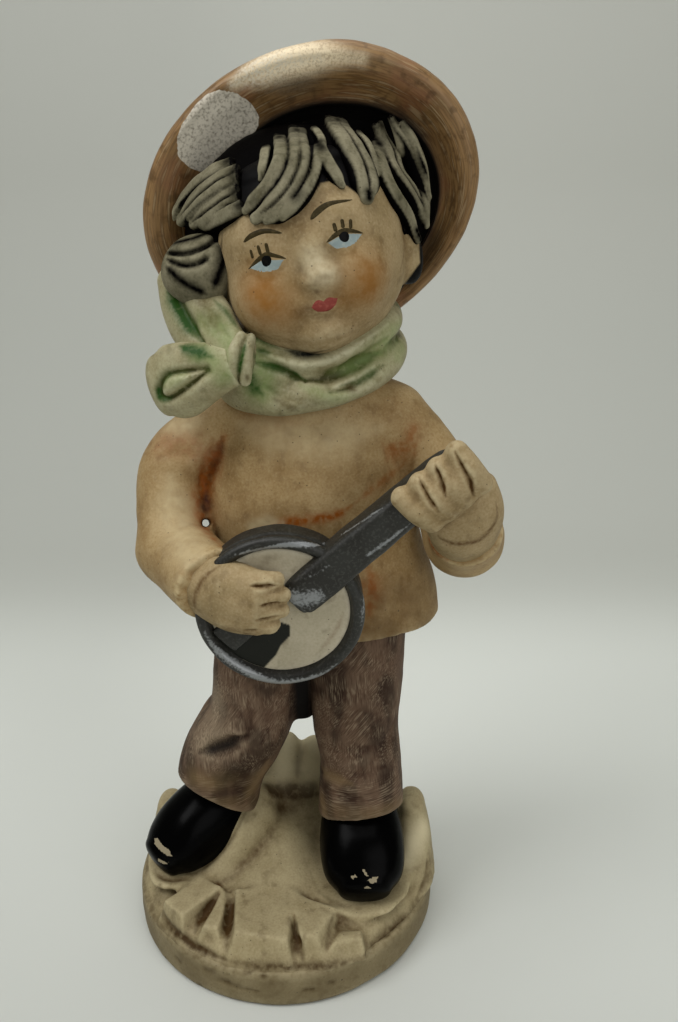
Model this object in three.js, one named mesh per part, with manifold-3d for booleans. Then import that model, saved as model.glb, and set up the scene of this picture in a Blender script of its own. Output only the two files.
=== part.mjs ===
// Figurine of a boy playing a banjo, in hand-painted cast ceramic, about 200 mm tall.
// Millimetres, +Z up. The boy faces -Y, and his own left side is +X. Every shape is laid out
// from the middle of the plinth's underside, and the finished group is moved so that the
// middle of its footprint is the origin. Left and right are the boy's own.
import * as THREE from 'three';
import { ParametricGeometry } from 'three/addons/geometries/ParametricGeometry.js';
import { mergeVertices } from 'three/addons/utils/BufferGeometryUtils.js';
import Module from 'manifold-3d';

// Heights, stacked from the table upwards
const PLINTH_HEIGHT = 9;
const SOLE_RISE = 4;
const HEM_RISE = 17;
const KNEE_RISE = 21;
const SKIRT_RISE = 31;
const TUNIC_LENGTH = 57;
const HEAD_RISE = 21.5;
const HAT_RISE = 10.8;

const SOLE_Z = PLINTH_HEIGHT + SOLE_RISE;
const HEM_Z = SOLE_Z + HEM_RISE;
const KNEE_Z = HEM_Z + KNEE_RISE;
const SKIRT_Z = KNEE_Z + SKIRT_RISE;
const COLLAR_Z = SKIRT_Z + TUNIC_LENGTH;
const HEAD_Z = COLLAR_Z + HEAD_RISE;
const HAT_Z = HEAD_Z + HAT_RISE;

// Gap left between a piece and the neighbour that it is cut by
const CLEARANCE = 0.3;

// Plinth and its rocky ground
const PLINTH_X = -1.8;
const PLINTH_Y = 1.4;
const PLINTH_RADIUS = 37.6;
const PLINTH_ROUND = 1.4;
const POUR_HOLE_RADIUS = 7;
const POUR_HOLE_DEPTH = 6;
const MOUND_RADIUS = 34;
const MOUND_EDGE_RISE = 5.5;
const SADDLE_RISE = 8;
const LEDGE_RISE = 6;
const CRAG_X = 1.4;
const CRAG_Y = 13.5;
const CRAG_TOP_RISE = 30.5;
const CRAG_WIDTH = 17;
const CRAG_PEAK_SPACING = 7.2;
const STONE_RISE = 6.5;
const STONE_RING_RADIUS = 30.5;

// Shoes
const SHOE_LENGTH = 29;
const LEFT_SHOE_WIDTH = 20.5;
const RIGHT_SHOE_WIDTH = 18;
const SHOE_HEIGHT = 20;
const LEFT_FOOT_X = 17.3;
const LEFT_FOOT_Y = -4.5;
const LEFT_TOE_OUT = 2;
const RIGHT_FOOT_X = -19.8;
const RIGHT_FOOT_Y = 0.5;
const RIGHT_TOE_OUT = 52;

// Trousers
const HEM_WIDTH = 21.4;
const KNEE_WIDTH = 21;
const THIGH_WIDTH = 24.5;
const LEG_DEPTH_SHARE = 0.98;
const HEM_SLANT = 0.32;
const RIGHT_LEG_WIDTH_SHARE = 0.93;
const HIP_X = 5;
const HIP_SPREAD = 21;

// Tunic
const BODY_X = 6.2;
const SKIRT_WIDTH = 55.5;
const WAIST_WIDTH = 48;
const CHEST_WIDTH = 43;
const SHOULDER_WIDTH = 41;
const COLLAR_WIDTH = 29;
const BODY_DEPTH_SHARE = 0.7;

// Sleeves and hands
const SLEEVE_WIDTH = 15.8;
const CUFF_WIDTH = 15.4;
const SHOULDER_DROP = 12.5;
const RIGHT_ARM_BOW = 8;
const LEFT_ARM_BOW = 2.4;
const RIGHT_ELBOW = new THREE.Vector3(-23.6, -11, SKIRT_Z + 19);
const RIGHT_WRIST = new THREE.Vector3(-13.6, -25.5, SKIRT_Z + 16.5);
const LEFT_ELBOW = new THREE.Vector3(38.8, -10.5, SKIRT_Z + 20.8);
const LEFT_WRIST = new THREE.Vector3(37.2, -20.5, SKIRT_Z + 26.6);
const RIGHT_FINGER_WIDTH = 3.7;
const LEFT_FINGER_WIDTH = 4.8;
const RIGHT_HAND_LENGTH = 14;
const LEFT_HAND_LENGTH = 8.5;

// Banjo
const POT_CENTRE = new THREE.Vector3(0, -24, SKIRT_Z + 11.6);
const POT_RADIUS = 16.8;
const POT_DEPTH = 8.6;
const POT_LEAN = 6;
const RING_WIDTH = 2.4;
const SKIN_DEPTH = 1.6;
const NECK_RISE_ANGLE = 43.5;
const NECK_LENGTH = 41;
const NECK_WIDTH_AT_POT = 8.2;
const NECK_WIDTH_AT_PEGS = 6.6;
const NECK_DEPTH = 7.4;
const NECK_PROUD = 1.5;
const NECK_START = 5;
const TAILPIECE_WIDTH = 6.5;
const TAILPIECE_LENGTH = 9;
const TAILPIECE_DROP = 3.5;
const TAILPIECE_THICKNESS = 1;

// Head, hair and hat
const HEAD_X = 5.8;
const HEAD_Y = -3;
const HEAD_ROLL = 14;
const HEAD_WIDTH = 38;
const HEAD_DEPTH = 37;
const HEAD_HEIGHT = 41;
const NECK_GIRTH = 22;
const NOSE_SIZE = 3.4;
const EAR_SIZE = 5;
const HAIR_WIDTH = HEAD_WIDTH + 10;
const HAIR_DEPTH = HEAD_DEPTH + 2;
const HAIR_HEIGHT = HEAD_HEIGHT + 4;
const HAIR_BACK = 6.5;
const LOCK_WIDTH = 6;
const LOCK_THICKNESS = 5.4;
const BUN_WIDTH = 14;
const HAT_X = 5.9;
const HAT_Y = 8;
const HAT_ROLL = 21;
const HAT_LEAN = 15;
const BRIM_WIDTH = 71;
const BRIM_HEIGHT_SHARE = 0.82;
const BRIM_INNER_WIDTH = HAIR_WIDTH + 1;
const CROWN_SHIFT_X = 2;
const CROWN_SHIFT_Z = -3;
const BRIM_THICKNESS = 3.2;
const BRIM_CUP = 5;
const CROWN_DEPTH = 23;
const CROWN_LAP = 1.2;

// Scarf
const SCARF_WIDTH = HEAD_WIDTH + 0.5;
const SCARF_DEPTH = HEAD_DEPTH - 4;
const SCARF_FOLD = 9.6;
const SCARF_SPACING = 6.4;
const SCARF_SIDE_SLOPE = 0.17;
const SCARF_BACK_SLOPE = 0.26;
const KNOT_HEIGHT = 12;
const KNOT_WIDTH = 6.6;
const BOW_LENGTH = 17;
const BOW_HEIGHT = 17;
const TAIL_LENGTH = 26;
const TAIL_WIDTH = 12.5;

// Facets round a section and along a path
const ROUND_SIDES = 18;
const SMALL_SIDES = 8;
const PATH_STEPS = 8;
const DOME_STEPS = 2;
const HOOP_SIDES = 30;
const WHEEL_SIDES = 36;

const wasm = await Module();
wasm.setup();

const UP = new THREE.Vector3(0, 0, 1);
const BACK = new THREE.Vector3(0, 1, 0);

function radians(degrees) {
  return THREE.MathUtils.degToRad(degrees);
}

// A solid from a closed geometry: shared points are merged, flat triangles at the poles
// are dropped, and the faces are turned outwards.
function solid(geometry) {
  geometry.deleteAttribute('normal');
  geometry.deleteAttribute('uv');
  const merged = mergeVertices(geometry, 1e-4);
  const corners = merged.index.array;
  const kept = [];
  for (let i = 0; i < corners.length; i += 3) {
    const [a, b, c] = [corners[i], corners[i + 1], corners[i + 2]];
    if (a !== b && b !== c && c !== a) {
      kept.push(a, b, c);
    }
  }
  const build = (triangles) => new wasm.Manifold(new wasm.Mesh({
    numProp: 3,
    vertProperties: new Float32Array(merged.attributes.position.array),
    triVerts: new Uint32Array(triangles),
  }));
  const body = build(kept);
  return body.volume() > 0 ? body : build(kept.reverse());
}

// One cross-section of a loft: its middle, half width and half depth
function ring(x, y, z, width, depth = width) {
  return { at: new THREE.Vector3(x, y, z), width: width / 2, depth: depth / 2 };
}

// A value that runs smoothly through a list of values
function smooth(values, t) {
  const curve = new THREE.CatmullRomCurve3(values.map((value, i) => new THREE.Vector3(i, value, 0)));
  return curve.getPoint(t).y;
}

// A rounded body whose cross-sections follow a list of rings. Sections stay level when
// `level` is set, and otherwise stand square to the path. Each end is flat (dome 0) or is
// closed by a dome of the given length. `slant` lifts the front of the first sections, as on
// a hem, and `floor` flattens a sole. `grow` makes the body bigger all round, for cuts.
function loft(rings, options = {}, grow = 0) {
  const { level = false, sides = ROUND_SIDES, steps = PATH_STEPS, domes = [0, 0] } = options;
  const { across = new THREE.Vector3(1, 0, 0), floor = -Infinity, slant = 0 } = options;
  const path = new THREE.CatmullRomCurve3(rings.map((item) => item.at));
  const sections = [];
  const add = (t, shift, share) => {
    const forward = level ? UP.clone() : path.getTangent(t);
    const over = new THREE.Vector3().crossVectors(forward, across).normalize();
    const side = new THREE.Vector3().crossVectors(over, forward).normalize();
    const middle = path.getPoint(t).addScaledVector(forward, shift);
    const width = (smooth(rings.map((item) => item.width), t) + grow) * share;
    const depth = (smooth(rings.map((item) => item.depth), t) + grow) * share;
    sections.push({ middle, side, over, width, depth, slant: slant * (1 - t) ** 4 });
  };
  const close = (t, outward, dome) => {
    if (dome === 0) {
      add(t, outward * grow, outward < 0 ? 0 : 1);
      add(t, outward * grow, outward < 0 ? 1 : 0);
      return;
    }
    for (let i = 0; i <= DOME_STEPS; i += 1) {
      const turn = (Math.PI / 2) * (outward < 0 ? 1 - i / DOME_STEPS : i / DOME_STEPS);
      if (Math.cos(turn) < 1e-9 || turn > 0) {
        add(t, outward * (dome + grow) * Math.sin(turn), Math.max(Math.cos(turn), 0));
      }
    }
  };
  close(0, -1, domes[0]);
  for (let i = 0; i <= steps; i += 1) {
    add(i / steps, 0, 1);
  }
  close(1, 1, domes[1]);
  const surface = (u, v, target) => {
    const section = sections[Math.round(v * (sections.length - 1))];
    const angle = 2 * Math.PI * u;
    target.copy(section.middle);
    target.addScaledVector(section.side, section.width * Math.cos(angle));
    target.addScaledVector(section.over, section.depth * Math.sin(angle));
    target.z += section.slant * (section.middle.y - target.y);
    target.z = Math.max(target.z, floor - grow);
  };
  return solid(new ParametricGeometry(surface, sides, sections.length - 1));
}

// A closed roll of cloth round the neck: an oval hoop with an oval section
function hoop(middle, width, depth, fold, slope, grow = 0) {
  const surface = (u, v, target) => {
    const round = 2 * Math.PI * u;
    const turn = 2 * Math.PI * v;
    const reach = (fold.depth / 2 + grow) * Math.cos(turn);
    const x = (width / 2 + reach) * Math.cos(round);
    const y = (depth / 2 + reach) * Math.sin(round);
    const z = slope.side * x + slope.back * y + (fold.height / 2 + grow) * Math.sin(turn);
    target.set(middle.x + x, middle.y + y, middle.z + z);
  };
  return solid(new ParametricGeometry(surface, HOOP_SIDES, SMALL_SIDES));
}

// A turned body: a profile of [radius, height] points round the Y axis, placed by a matrix
function turned(points, matrix, sides = WHEEL_SIDES) {
  const geometry = new THREE.LatheGeometry(points.map(([x, y]) => new THREE.Vector2(x, y)), sides);
  return solid(geometry.applyMatrix4(matrix));
}

// An oval ball
function ball(middle, size, turn = new THREE.Matrix4(), grow = 0, sides = SMALL_SIDES) {
  const [width, depth, height] = size;
  const geometry = new THREE.SphereGeometry(1, sides, Math.round(sides * 0.7));
  geometry.scale(width / 2 + grow, depth / 2 + grow, height / 2 + grow);
  geometry.applyMatrix4(turn);
  geometry.translate(middle.x, middle.y, middle.z);
  return solid(geometry);
}

function join(bodies) {
  return bodies.reduce((sum, body) => sum.add(body));
}

// The body left after cuts, without the loose crumbs that a cut can leave
function cut(body, ...tools) {
  const rest = tools.reduce((sum, tool) => sum.subtract(tool), body);
  return rest.decompose().sort((a, b) => b.volume() - a.volume())[0];
}

// Plinth: a turned disc with a blind pour hole in its underside
function plinth() {
  const edge = [];
  for (let i = 0; i <= 4; i += 1) {
    const turn = (Math.PI / 8) * i;
    const inset = PLINTH_ROUND * (1 - Math.cos(turn));
    edge.push([PLINTH_RADIUS - inset, PLINTH_HEIGHT - PLINTH_ROUND + PLINTH_ROUND * Math.sin(turn)]);
  }
  const upright = new THREE.Matrix4().makeRotationX(Math.PI / 2);
  return turned([
    [0, POUR_HOLE_DEPTH],
    [POUR_HOLE_RADIUS, POUR_HOLE_DEPTH],
    [POUR_HOLE_RADIUS, 0],
    [PLINTH_RADIUS, 0],
    ...edge,
    [0, PLINTH_HEIGHT],
  ], upright.setPosition(PLINTH_X, PLINTH_Y, 0));
}

// Height of the ground above the plinth: a rim, a saddle between the feet, a ledge on the
// left, and hollows where the shoes stand
function groundRise(x, y) {
  const swell = (height, cx, cy, wide, deep) => (
    height * Math.exp(-(((x - cx) / wide) ** 2) - ((y - cy) / deep) ** 2)
  );
  return MOUND_EDGE_RISE
    + swell(SADDLE_RISE, CRAG_X - 8.4, 3, 9, 11)
    + swell(SADDLE_RISE / 2, CRAG_X, CRAG_Y, 15, 12)
    + swell(LEDGE_RISE, LEFT_FOOT_X + LEFT_SHOE_WIDTH / 2 + 3, 6, 5, 14)
    + swell(LEDGE_RISE / 2, RIGHT_FOOT_X - 4, 16, 9, 8);
}

// Edge of the ground: a circle with shallow waves
function groundRadius(angle) {
  return MOUND_RADIUS + 0.6 * Math.sin(5 * angle + 1) + 0.5 * Math.sin(9 * angle);
}

function mound() {
  const surface = (u, v, target) => {
    const angle = 2 * Math.PI * u;
    const edge = groundRadius(angle);
    const share = Math.min(v / 0.8, 1);
    const foot = v > 0.95 ? 0 : edge + 0.8;
    const radius = v <= 0.8 ? edge * share : foot;
    const x = PLINTH_X + radius * Math.cos(angle);
    const y = PLINTH_Y + radius * Math.sin(angle);
    const top = PLINTH_HEIGHT + groundRise(x, y) * (1 - 0.25 * share ** 8);
    target.set(x, y, v <= 0.8 ? top : PLINTH_HEIGHT);
  };
  return solid(new ParametricGeometry(surface, WHEEL_SIDES, 10));
}

// Crag behind the legs: two blunt peaks side by side
function crag(grow = 0) {
  const foot = PLINTH_HEIGHT + MOUND_EDGE_RISE;
  const tip = PLINTH_HEIGHT + CRAG_TOP_RISE;
  const peaks = [-1, 1].map((side) => {
    const peakX = CRAG_X + side * CRAG_PEAK_SPACING / 2;
    const height = side < 0 ? tip : tip - 1.5;
    return loft([
      ring(CRAG_X + side * 3.4, CRAG_Y + 2, foot, CRAG_WIDTH * 0.72),
      ring(CRAG_X + side * 3.8, CRAG_Y + 1, (foot + height) / 2, CRAG_WIDTH * 0.6),
      ring(peakX, CRAG_Y, height - 4.5, CRAG_WIDTH * 0.5, CRAG_WIDTH * 0.42),
    ], { level: true, sides: SMALL_SIDES, steps: 5, domes: [0, 4.5] }, grow);
  });
  return join(peaks);
}

// Front stones: wedge-shaped blocks on the plinth's front edge, set round by angle
const STONES = [
  { name: 'front_stone_1', angle: 220, width: 9, depth: 8, taper: 0.75 },
  { name: 'front_stone_2', angle: 238, width: 7.5, depth: 9, taper: 0.35 },
  { name: 'front_stone_3', angle: 258, width: 12, depth: 9, taper: 0.85 },
  { name: 'front_stone_4', angle: 283, width: 10.5, depth: 9, taper: 0.55 },
  { name: 'front_stone_5', angle: 303, width: 7, depth: 8, taper: 0.7 },
];

function stone(item, grow = 0) {
  const shape = new THREE.Shape();
  const half = item.width / 2 + grow;
  const top = half * item.taper;
  const height = STONE_RISE + grow;
  shape.moveTo(-half, 0);
  shape.lineTo(half, 0);
  shape.lineTo(half * 0.96, height * 0.55);
  shape.lineTo(top, height);
  shape.lineTo(-top, height);
  shape.lineTo(-half * 0.96, height * 0.55);
  const depth = item.depth + 2 * grow;
  const geometry = new THREE.ExtrudeGeometry(shape, { depth, bevelEnabled: false });
  geometry.translate(0, 0, -depth / 2);
  geometry.rotateX(Math.PI / 2);
  geometry.rotateZ(radians(item.angle + 90));
  const angle = radians(item.angle);
  const x = PLINTH_X + STONE_RING_RADIUS * Math.cos(angle);
  const y = PLINTH_Y + STONE_RING_RADIUS * Math.sin(angle);
  geometry.translate(x, y, PLINTH_HEIGHT);
  return solid(geometry);
}

// Shoe: round toe, high instep and a flat sole, turned out by an angle
function shoe(x, y, toeOut, wide, grow = 0) {
  const out = radians(toeOut);
  const heading = new THREE.Vector3(Math.sin(out), -Math.cos(out), 0);
  if (x < 0) {
    heading.x = -heading.x;
  }
  const section = (share, width, height) => {
    const reach = (share - 0.42) * SHOE_LENGTH;
    const middle = SOLE_Z + height * SHOE_HEIGHT / 2;
    const place = new THREE.Vector3(x, y, middle).addScaledVector(heading, reach);
    return ring(place.x, place.y, place.z, width * wide, height * SHOE_HEIGHT * 1.12);
  };
  return loft([
    section(0.06, 0.6, 0.72),
    section(0.24, 0.88, 0.98),
    section(0.45, 1, 1),
    section(0.66, 1, 0.86),
    section(0.84, 0.9, 0.64),
    section(0.95, 0.62, 0.48),
  ], { across: new THREE.Vector3(-heading.y, heading.x, 0), domes: [1.8, 2], floor: SOLE_Z }, grow);
}

function leftShoe(grow = 0) {
  return shoe(LEFT_FOOT_X, LEFT_FOOT_Y, LEFT_TOE_OUT, LEFT_SHOE_WIDTH, grow);
}

function rightShoe(grow = 0) {
  return shoe(RIGHT_FOOT_X - 0.4, RIGHT_FOOT_Y, RIGHT_TOE_OUT, RIGHT_SHOE_WIDTH, grow);
}

// Trouser legs: from the hem over the knee to the hip, inside the tunic's skirt
function leftLeg(grow = 0) {
  const hipX = HIP_X + HIP_SPREAD / 2;
  return loft([
    ring(LEFT_FOOT_X, LEFT_FOOT_Y, HEM_Z, HEM_WIDTH, HEM_WIDTH * LEG_DEPTH_SHARE),
    ring(LEFT_FOOT_X, LEFT_FOOT_Y, HEM_Z + 7, HEM_WIDTH * 1.03, HEM_WIDTH * LEG_DEPTH_SHARE),
    ring(LEFT_FOOT_X, LEFT_FOOT_Y + 1, KNEE_Z, KNEE_WIDTH, KNEE_WIDTH * LEG_DEPTH_SHARE),
    ring(hipX + 0.8, -1.5, (KNEE_Z + SKIRT_Z) / 2, THIGH_WIDTH * 0.94, THIGH_WIDTH),
    ring(hipX, 0, SKIRT_Z + 4, THIGH_WIDTH, THIGH_WIDTH * 1.15),
  ], { level: true, slant: HEM_SLANT }, grow);
}

function rightLeg(grow = 0) {
  const hipX = HIP_X - HIP_SPREAD / 2;
  const wide = RIGHT_LEG_WIDTH_SHARE;
  return loft([
    ring(RIGHT_FOOT_X, RIGHT_FOOT_Y, HEM_Z + 2, HEM_WIDTH * wide, HEM_WIDTH * wide),
    ring(RIGHT_FOOT_X * 0.84, RIGHT_FOOT_Y - 1.5, HEM_Z + 12, HEM_WIDTH * wide, HEM_WIDTH * wide),
    ring((RIGHT_FOOT_X + hipX) * 0.45, RIGHT_FOOT_Y - 4, KNEE_Z + 4, KNEE_WIDTH, KNEE_WIDTH * 0.98),
    ring(hipX, -1.5, (KNEE_Z + SKIRT_Z) / 2 - 1, THIGH_WIDTH * 0.93, THIGH_WIDTH),
    ring(hipX + 1, 0, SKIRT_Z + 4, THIGH_WIDTH, THIGH_WIDTH * 1.15),
  ], { slant: HEM_SLANT }, grow);
}

// Tunic: a flared skirt, a soft chest and sloping shoulders
function tunic(grow = 0) {
  const level = (share, x, y, width, depthShare = BODY_DEPTH_SHARE) => (
    ring(x, y, SKIRT_Z + share * TUNIC_LENGTH, width, width * depthShare)
  );
  return loft([
    level(0, BODY_X + 1.2, 0.5, SKIRT_WIDTH),
    level(0.12, BODY_X + 1.2, 0.3, SKIRT_WIDTH * 0.96),
    level(0.29, BODY_X + 1, 0, WAIST_WIDTH),
    level(0.48, BODY_X - 1.4, 0, CHEST_WIDTH * 1.1),
    level(0.68, BODY_X - 0.4, 0, CHEST_WIDTH),
    level(0.85, BODY_X, 0.5, SHOULDER_WIDTH, 0.66),
    level(0.96, BODY_X + 0.3, 1, COLLAR_WIDTH, 0.76),
  ], { level: true, sides: 24, steps: 9, domes: [0, 0.04 * TUNIC_LENGTH] }, grow);
}

// Sleeve: a round-ended upper arm and a forearm that ends flat at the wrist
function sleeve(side, elbow, wrist, bow, grow = 0) {
  const shoulderX = BODY_X + side * (SHOULDER_WIDTH / 2 - 3.5);
  const shoulderZ = COLLAR_Z - SHOULDER_DROP;
  const middle = new THREE.Vector3(shoulderX, 0, shoulderZ).lerp(elbow, 0.4);
  const upper = loft([
    ring(shoulderX, 0, shoulderZ, SLEEVE_WIDTH * 1.06),
    ring(middle.x + side * bow, middle.y + 2, middle.z, SLEEVE_WIDTH * 0.96),
    ring(elbow.x, elbow.y, elbow.z, SLEEVE_WIDTH),
  ], { across: BACK, sides: 16, steps: 5, domes: [SLEEVE_WIDTH / 2, SLEEVE_WIDTH / 2] }, grow);
  const lower = loft([
    ring(elbow.x, elbow.y, elbow.z, SLEEVE_WIDTH),
    ring(wrist.x, wrist.y, wrist.z, CUFF_WIDTH),
  ], { across: BACK, sides: 16, steps: 2, domes: [SLEEVE_WIDTH / 2, 0] }, grow);
  return upper.add(lower);
}

function rightSleeve(grow = 0) {
  return sleeve(-1, RIGHT_ELBOW, RIGHT_WRIST, RIGHT_ARM_BOW, grow);
}

function leftSleeve(grow = 0) {
  return sleeve(1, LEFT_ELBOW, LEFT_WRIST, LEFT_ARM_BOW, grow);
}

// One finger: a short bent tube with rounded ends
function finger(start, end, lift, width) {
  const middle = start.clone().lerp(end, 0.5).add(lift);
  return loft([
    ring(start.x, start.y, start.z, width),
    ring(middle.x, middle.y, middle.z, width * 1.02),
    ring(end.x, end.y, end.z, width * 0.88),
  ], { across: BACK, sides: SMALL_SIDES, steps: 3, domes: [width * 0.4, width * 0.42] });
}

// Right hand: a flat fist that strums, four fingers one above the other and a thumb on top
function rightHand() {
  const wrist = RIGHT_WRIST;
  const reach = RIGHT_HAND_LENGTH;
  const front = POT_CENTRE.y - POT_DEPTH / 2 - NECK_PROUD - 1.6;
  const palm = loft([
    ring(wrist.x - 1.5, wrist.y + 1.5, wrist.z, CUFF_WIDTH * 0.8),
    ring(wrist.x + reach * 0.3, wrist.y - 3, wrist.z - 0.6, CUFF_WIDTH * 0.94, CUFF_WIDTH * 0.66),
    ring(wrist.x + reach * 0.72, front, wrist.z - 0.9, CUFF_WIDTH * 0.92, CUFF_WIDTH * 0.44),
  ], { across: UP, sides: 14, steps: 4, domes: [0, 2] });
  const fingers = [0, 1, 2, 3].map((i) => {
    const z = wrist.z + 3.6 - i * RIGHT_FINGER_WIDTH * 0.88;
    const x = wrist.x + reach;
    const start = new THREE.Vector3(x - 6, front + 0.2, z);
    const end = new THREE.Vector3(x + 1 - 0.8 * Math.abs(i - 1.2), front + 0.5, z - 0.5);
    return finger(start, end, new THREE.Vector3(0, -0.6, 0), RIGHT_FINGER_WIDTH);
  });
  return join([palm, ...fingers]);
}

// Left hand: a round mitt over the end of the banjo's neck, with four fingers whose tips
// line up along the neck's upper edge
function leftHand() {
  const wrist = LEFT_WRIST;
  const front = -NECK_DEPTH / 2 - NECK_PROUD - LEFT_FINGER_WIDTH * 0.3;
  const palm = loft([
    ring(wrist.x, wrist.y + 2.5, wrist.z - 1.5, CUFF_WIDTH * 0.88, CUFF_WIDTH * 0.86),
    ring(wrist.x - 0.6, wrist.y - 3.5, wrist.z + 3.5, CUFF_WIDTH * 1.02, CUFF_WIDTH * 0.82),
    ring(wrist.x - 2.6, wrist.y - 6.3, wrist.z + 9, CUFF_WIDTH * 1.02, CUFF_WIDTH * 0.62),
  ], { across: neckDirection(), sides: 16, steps: 4, domes: [0, 3.5] });
  const fingers = [0, 1, 2, 3].map((i) => {
    const share = 0.74 + i * LEFT_FINGER_WIDTH * 0.92 / NECK_LENGTH;
    const tip = neckPoint(share, front, NECK_WIDTH_AT_PEGS / 2 - 0.8);
    const back = new THREE.Vector3(0.72 - 0.05 * i, 0.1, -0.58 - 0.05 * i);
    back.multiplyScalar(LEFT_HAND_LENGTH);
    return finger(tip.clone().add(back), tip, new THREE.Vector3(0, -1, 0), LEFT_FINGER_WIDTH);
  });
  return join([palm, ...fingers]);
}

// The banjo lies in its own plane: x across, z up, -y out of its face
const BANJO_FRAME = new THREE.Matrix4()
  .makeRotationX(radians(POT_LEAN))
  .setPosition(POT_CENTRE);

function neckDirection() {
  const angle = radians(NECK_RISE_ANGLE);
  return new THREE.Vector3(Math.cos(angle), 0, Math.sin(angle)).transformDirection(BANJO_FRAME);
}

// A point of the neck: at a share of its length, a height over its middle plane and a
// distance above its middle line
function neckPoint(share, y, rise) {
  const angle = radians(NECK_RISE_ANGLE);
  const reach = NECK_START + share * NECK_LENGTH;
  const x = reach * Math.cos(angle) - rise * Math.sin(angle);
  const z = reach * Math.sin(angle) + rise * Math.cos(angle);
  return new THREE.Vector3(x, y, z).applyMatrix4(BANJO_FRAME);
}

function pot(grow = 0) {
  const front = POT_DEPTH / 2 + grow;
  const outer = POT_RADIUS + grow;
  const inner = POT_RADIUS - RING_WIDTH;
  const seat = POT_DEPTH / 2 - SKIN_DEPTH;
  const hollow = [[inner - 0.6, front], [inner, front - 0.6], [inner, seat], [0, seat]];
  const open = grow > 0 ? [[0, front]] : hollow;
  return turned([
    [0, -front],
    [outer - 1.2, -front],
    [outer, -front + 1.2],
    [outer, front - 1],
    [outer - 1, front],
    ...open,
  ], BANJO_FRAME.clone().multiply(new THREE.Matrix4().makeRotationX(Math.PI)));
}

function skin(grow = 0) {
  const radius = POT_RADIUS - RING_WIDTH - CLEARANCE + grow;
  const back = POT_DEPTH / 2 - SKIN_DEPTH + CLEARANCE - grow;
  const front = POT_DEPTH / 2 - 0.3 + grow;
  return turned([
    [0, back],
    [radius, back],
    [radius, front - 0.2],
    [radius - 0.5, front],
    [0, front + 0.4],
  ], BANJO_FRAME.clone().multiply(new THREE.Matrix4().makeRotationX(Math.PI)));
}

// Neck with its fingerboard: a tapered bar that starts on the skin and ends at the pegs
function neck(grow = 0) {
  const wide = NECK_WIDTH_AT_POT / 2 + grow;
  const narrow = NECK_WIDTH_AT_PEGS / 2 + grow;
  const shape = new THREE.Shape();
  shape.moveTo(NECK_START - grow, -wide * 0.45);
  shape.lineTo(NECK_START + 1.2, -wide * 0.8);
  shape.lineTo(POT_RADIUS, -wide);
  shape.lineTo(NECK_START + NECK_LENGTH - 4, -narrow);
  shape.lineTo(NECK_START + NECK_LENGTH + grow, -narrow * 0.7);
  shape.lineTo(NECK_START + NECK_LENGTH + grow, narrow * 0.7);
  shape.lineTo(NECK_START + NECK_LENGTH - 4, narrow);
  shape.lineTo(POT_RADIUS, wide);
  shape.lineTo(NECK_START + 1.2, wide * 0.8);
  shape.lineTo(NECK_START - grow, wide * 0.45);
  const depth = NECK_DEPTH + 2 * grow;
  const geometry = new THREE.ExtrudeGeometry(shape, { depth, bevelEnabled: false });
  geometry.translate(0, 0, -depth / 2);
  geometry.rotateX(Math.PI / 2);
  geometry.rotateY(-radians(NECK_RISE_ANGLE));
  geometry.translate(0, -NECK_PROUD - (POT_DEPTH - NECK_DEPTH) / 2, 0);
  return solid(geometry.applyMatrix4(BANJO_FRAME));
}

// Tailpiece: a small plate that sits on the skin opposite the neck
function tailpiece(grow = 0) {
  const [length, thick, width] = [TAILPIECE_LENGTH, TAILPIECE_THICKNESS, TAILPIECE_WIDTH];
  const geometry = new THREE.BoxGeometry(length + 2 * grow, thick + 2 * grow, width + 2 * grow);
  const reach = POT_RADIUS - RING_WIDTH - TAILPIECE_LENGTH / 2 - 1;
  geometry.translate(-reach, -POT_DEPTH / 2 - TAILPIECE_THICKNESS / 2, -TAILPIECE_DROP);
  geometry.rotateY(-radians(NECK_RISE_ANGLE));
  return solid(geometry.applyMatrix4(BANJO_FRAME));
}

// Scarf: two rolled folds round the neck, a knot on the right, a bow loop and a tail
const SCARF_SLOPE = { side: SCARF_SIDE_SLOPE, back: SCARF_BACK_SLOPE };

function scarfFold(level, grow = 0) {
  const middle = new THREE.Vector3(HEAD_X, HEAD_Y + 2.2, COLLAR_Z + 6.4 - level * SCARF_SPACING);
  const wider = level * 2.2;
  const fold = { depth: SCARF_FOLD, height: SCARF_FOLD * 0.86 };
  return hoop(
    middle,
    SCARF_WIDTH - SCARF_FOLD + wider,
    SCARF_DEPTH - SCARF_FOLD + wider,
    fold,
    SCARF_SLOPE,
    grow,
  );
}

const KNOT = new THREE.Vector3(HEAD_X - 13.8, HEAD_Y - 16.2, COLLAR_Z + 2.8);

function knot(grow = 0) {
  return loft([
    ring(KNOT.x + 0.6, KNOT.y, KNOT.z + KNOT_HEIGHT / 2 - 2, KNOT_WIDTH, KNOT_WIDTH),
    ring(KNOT.x, KNOT.y - 0.8, KNOT.z, KNOT_WIDTH * 0.92, KNOT_WIDTH),
    ring(KNOT.x - 0.4, KNOT.y, KNOT.z - KNOT_HEIGHT / 2 + 2, KNOT_WIDTH * 1.05, KNOT_WIDTH),
  ], { sides: 12, steps: 5, domes: [2, 2] }, grow);
}

function bowLoop(grow = 0) {
  return loft([
    ring(KNOT.x - 2.2, KNOT.y + 1.2, KNOT.z - 0.5, BOW_HEIGHT * 0.42, 6),
    ring(KNOT.x - BOW_LENGTH * 0.5, KNOT.y + 3.4, KNOT.z - 3.4, BOW_HEIGHT * 0.86, 7.4),
    ring(KNOT.x - BOW_LENGTH * 0.82, KNOT.y + 5, KNOT.z - 5, BOW_HEIGHT * 0.82, 6.6),
  ], { across: UP, sides: 14, steps: 6, domes: [0, 2.4] }, grow);
}

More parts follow.
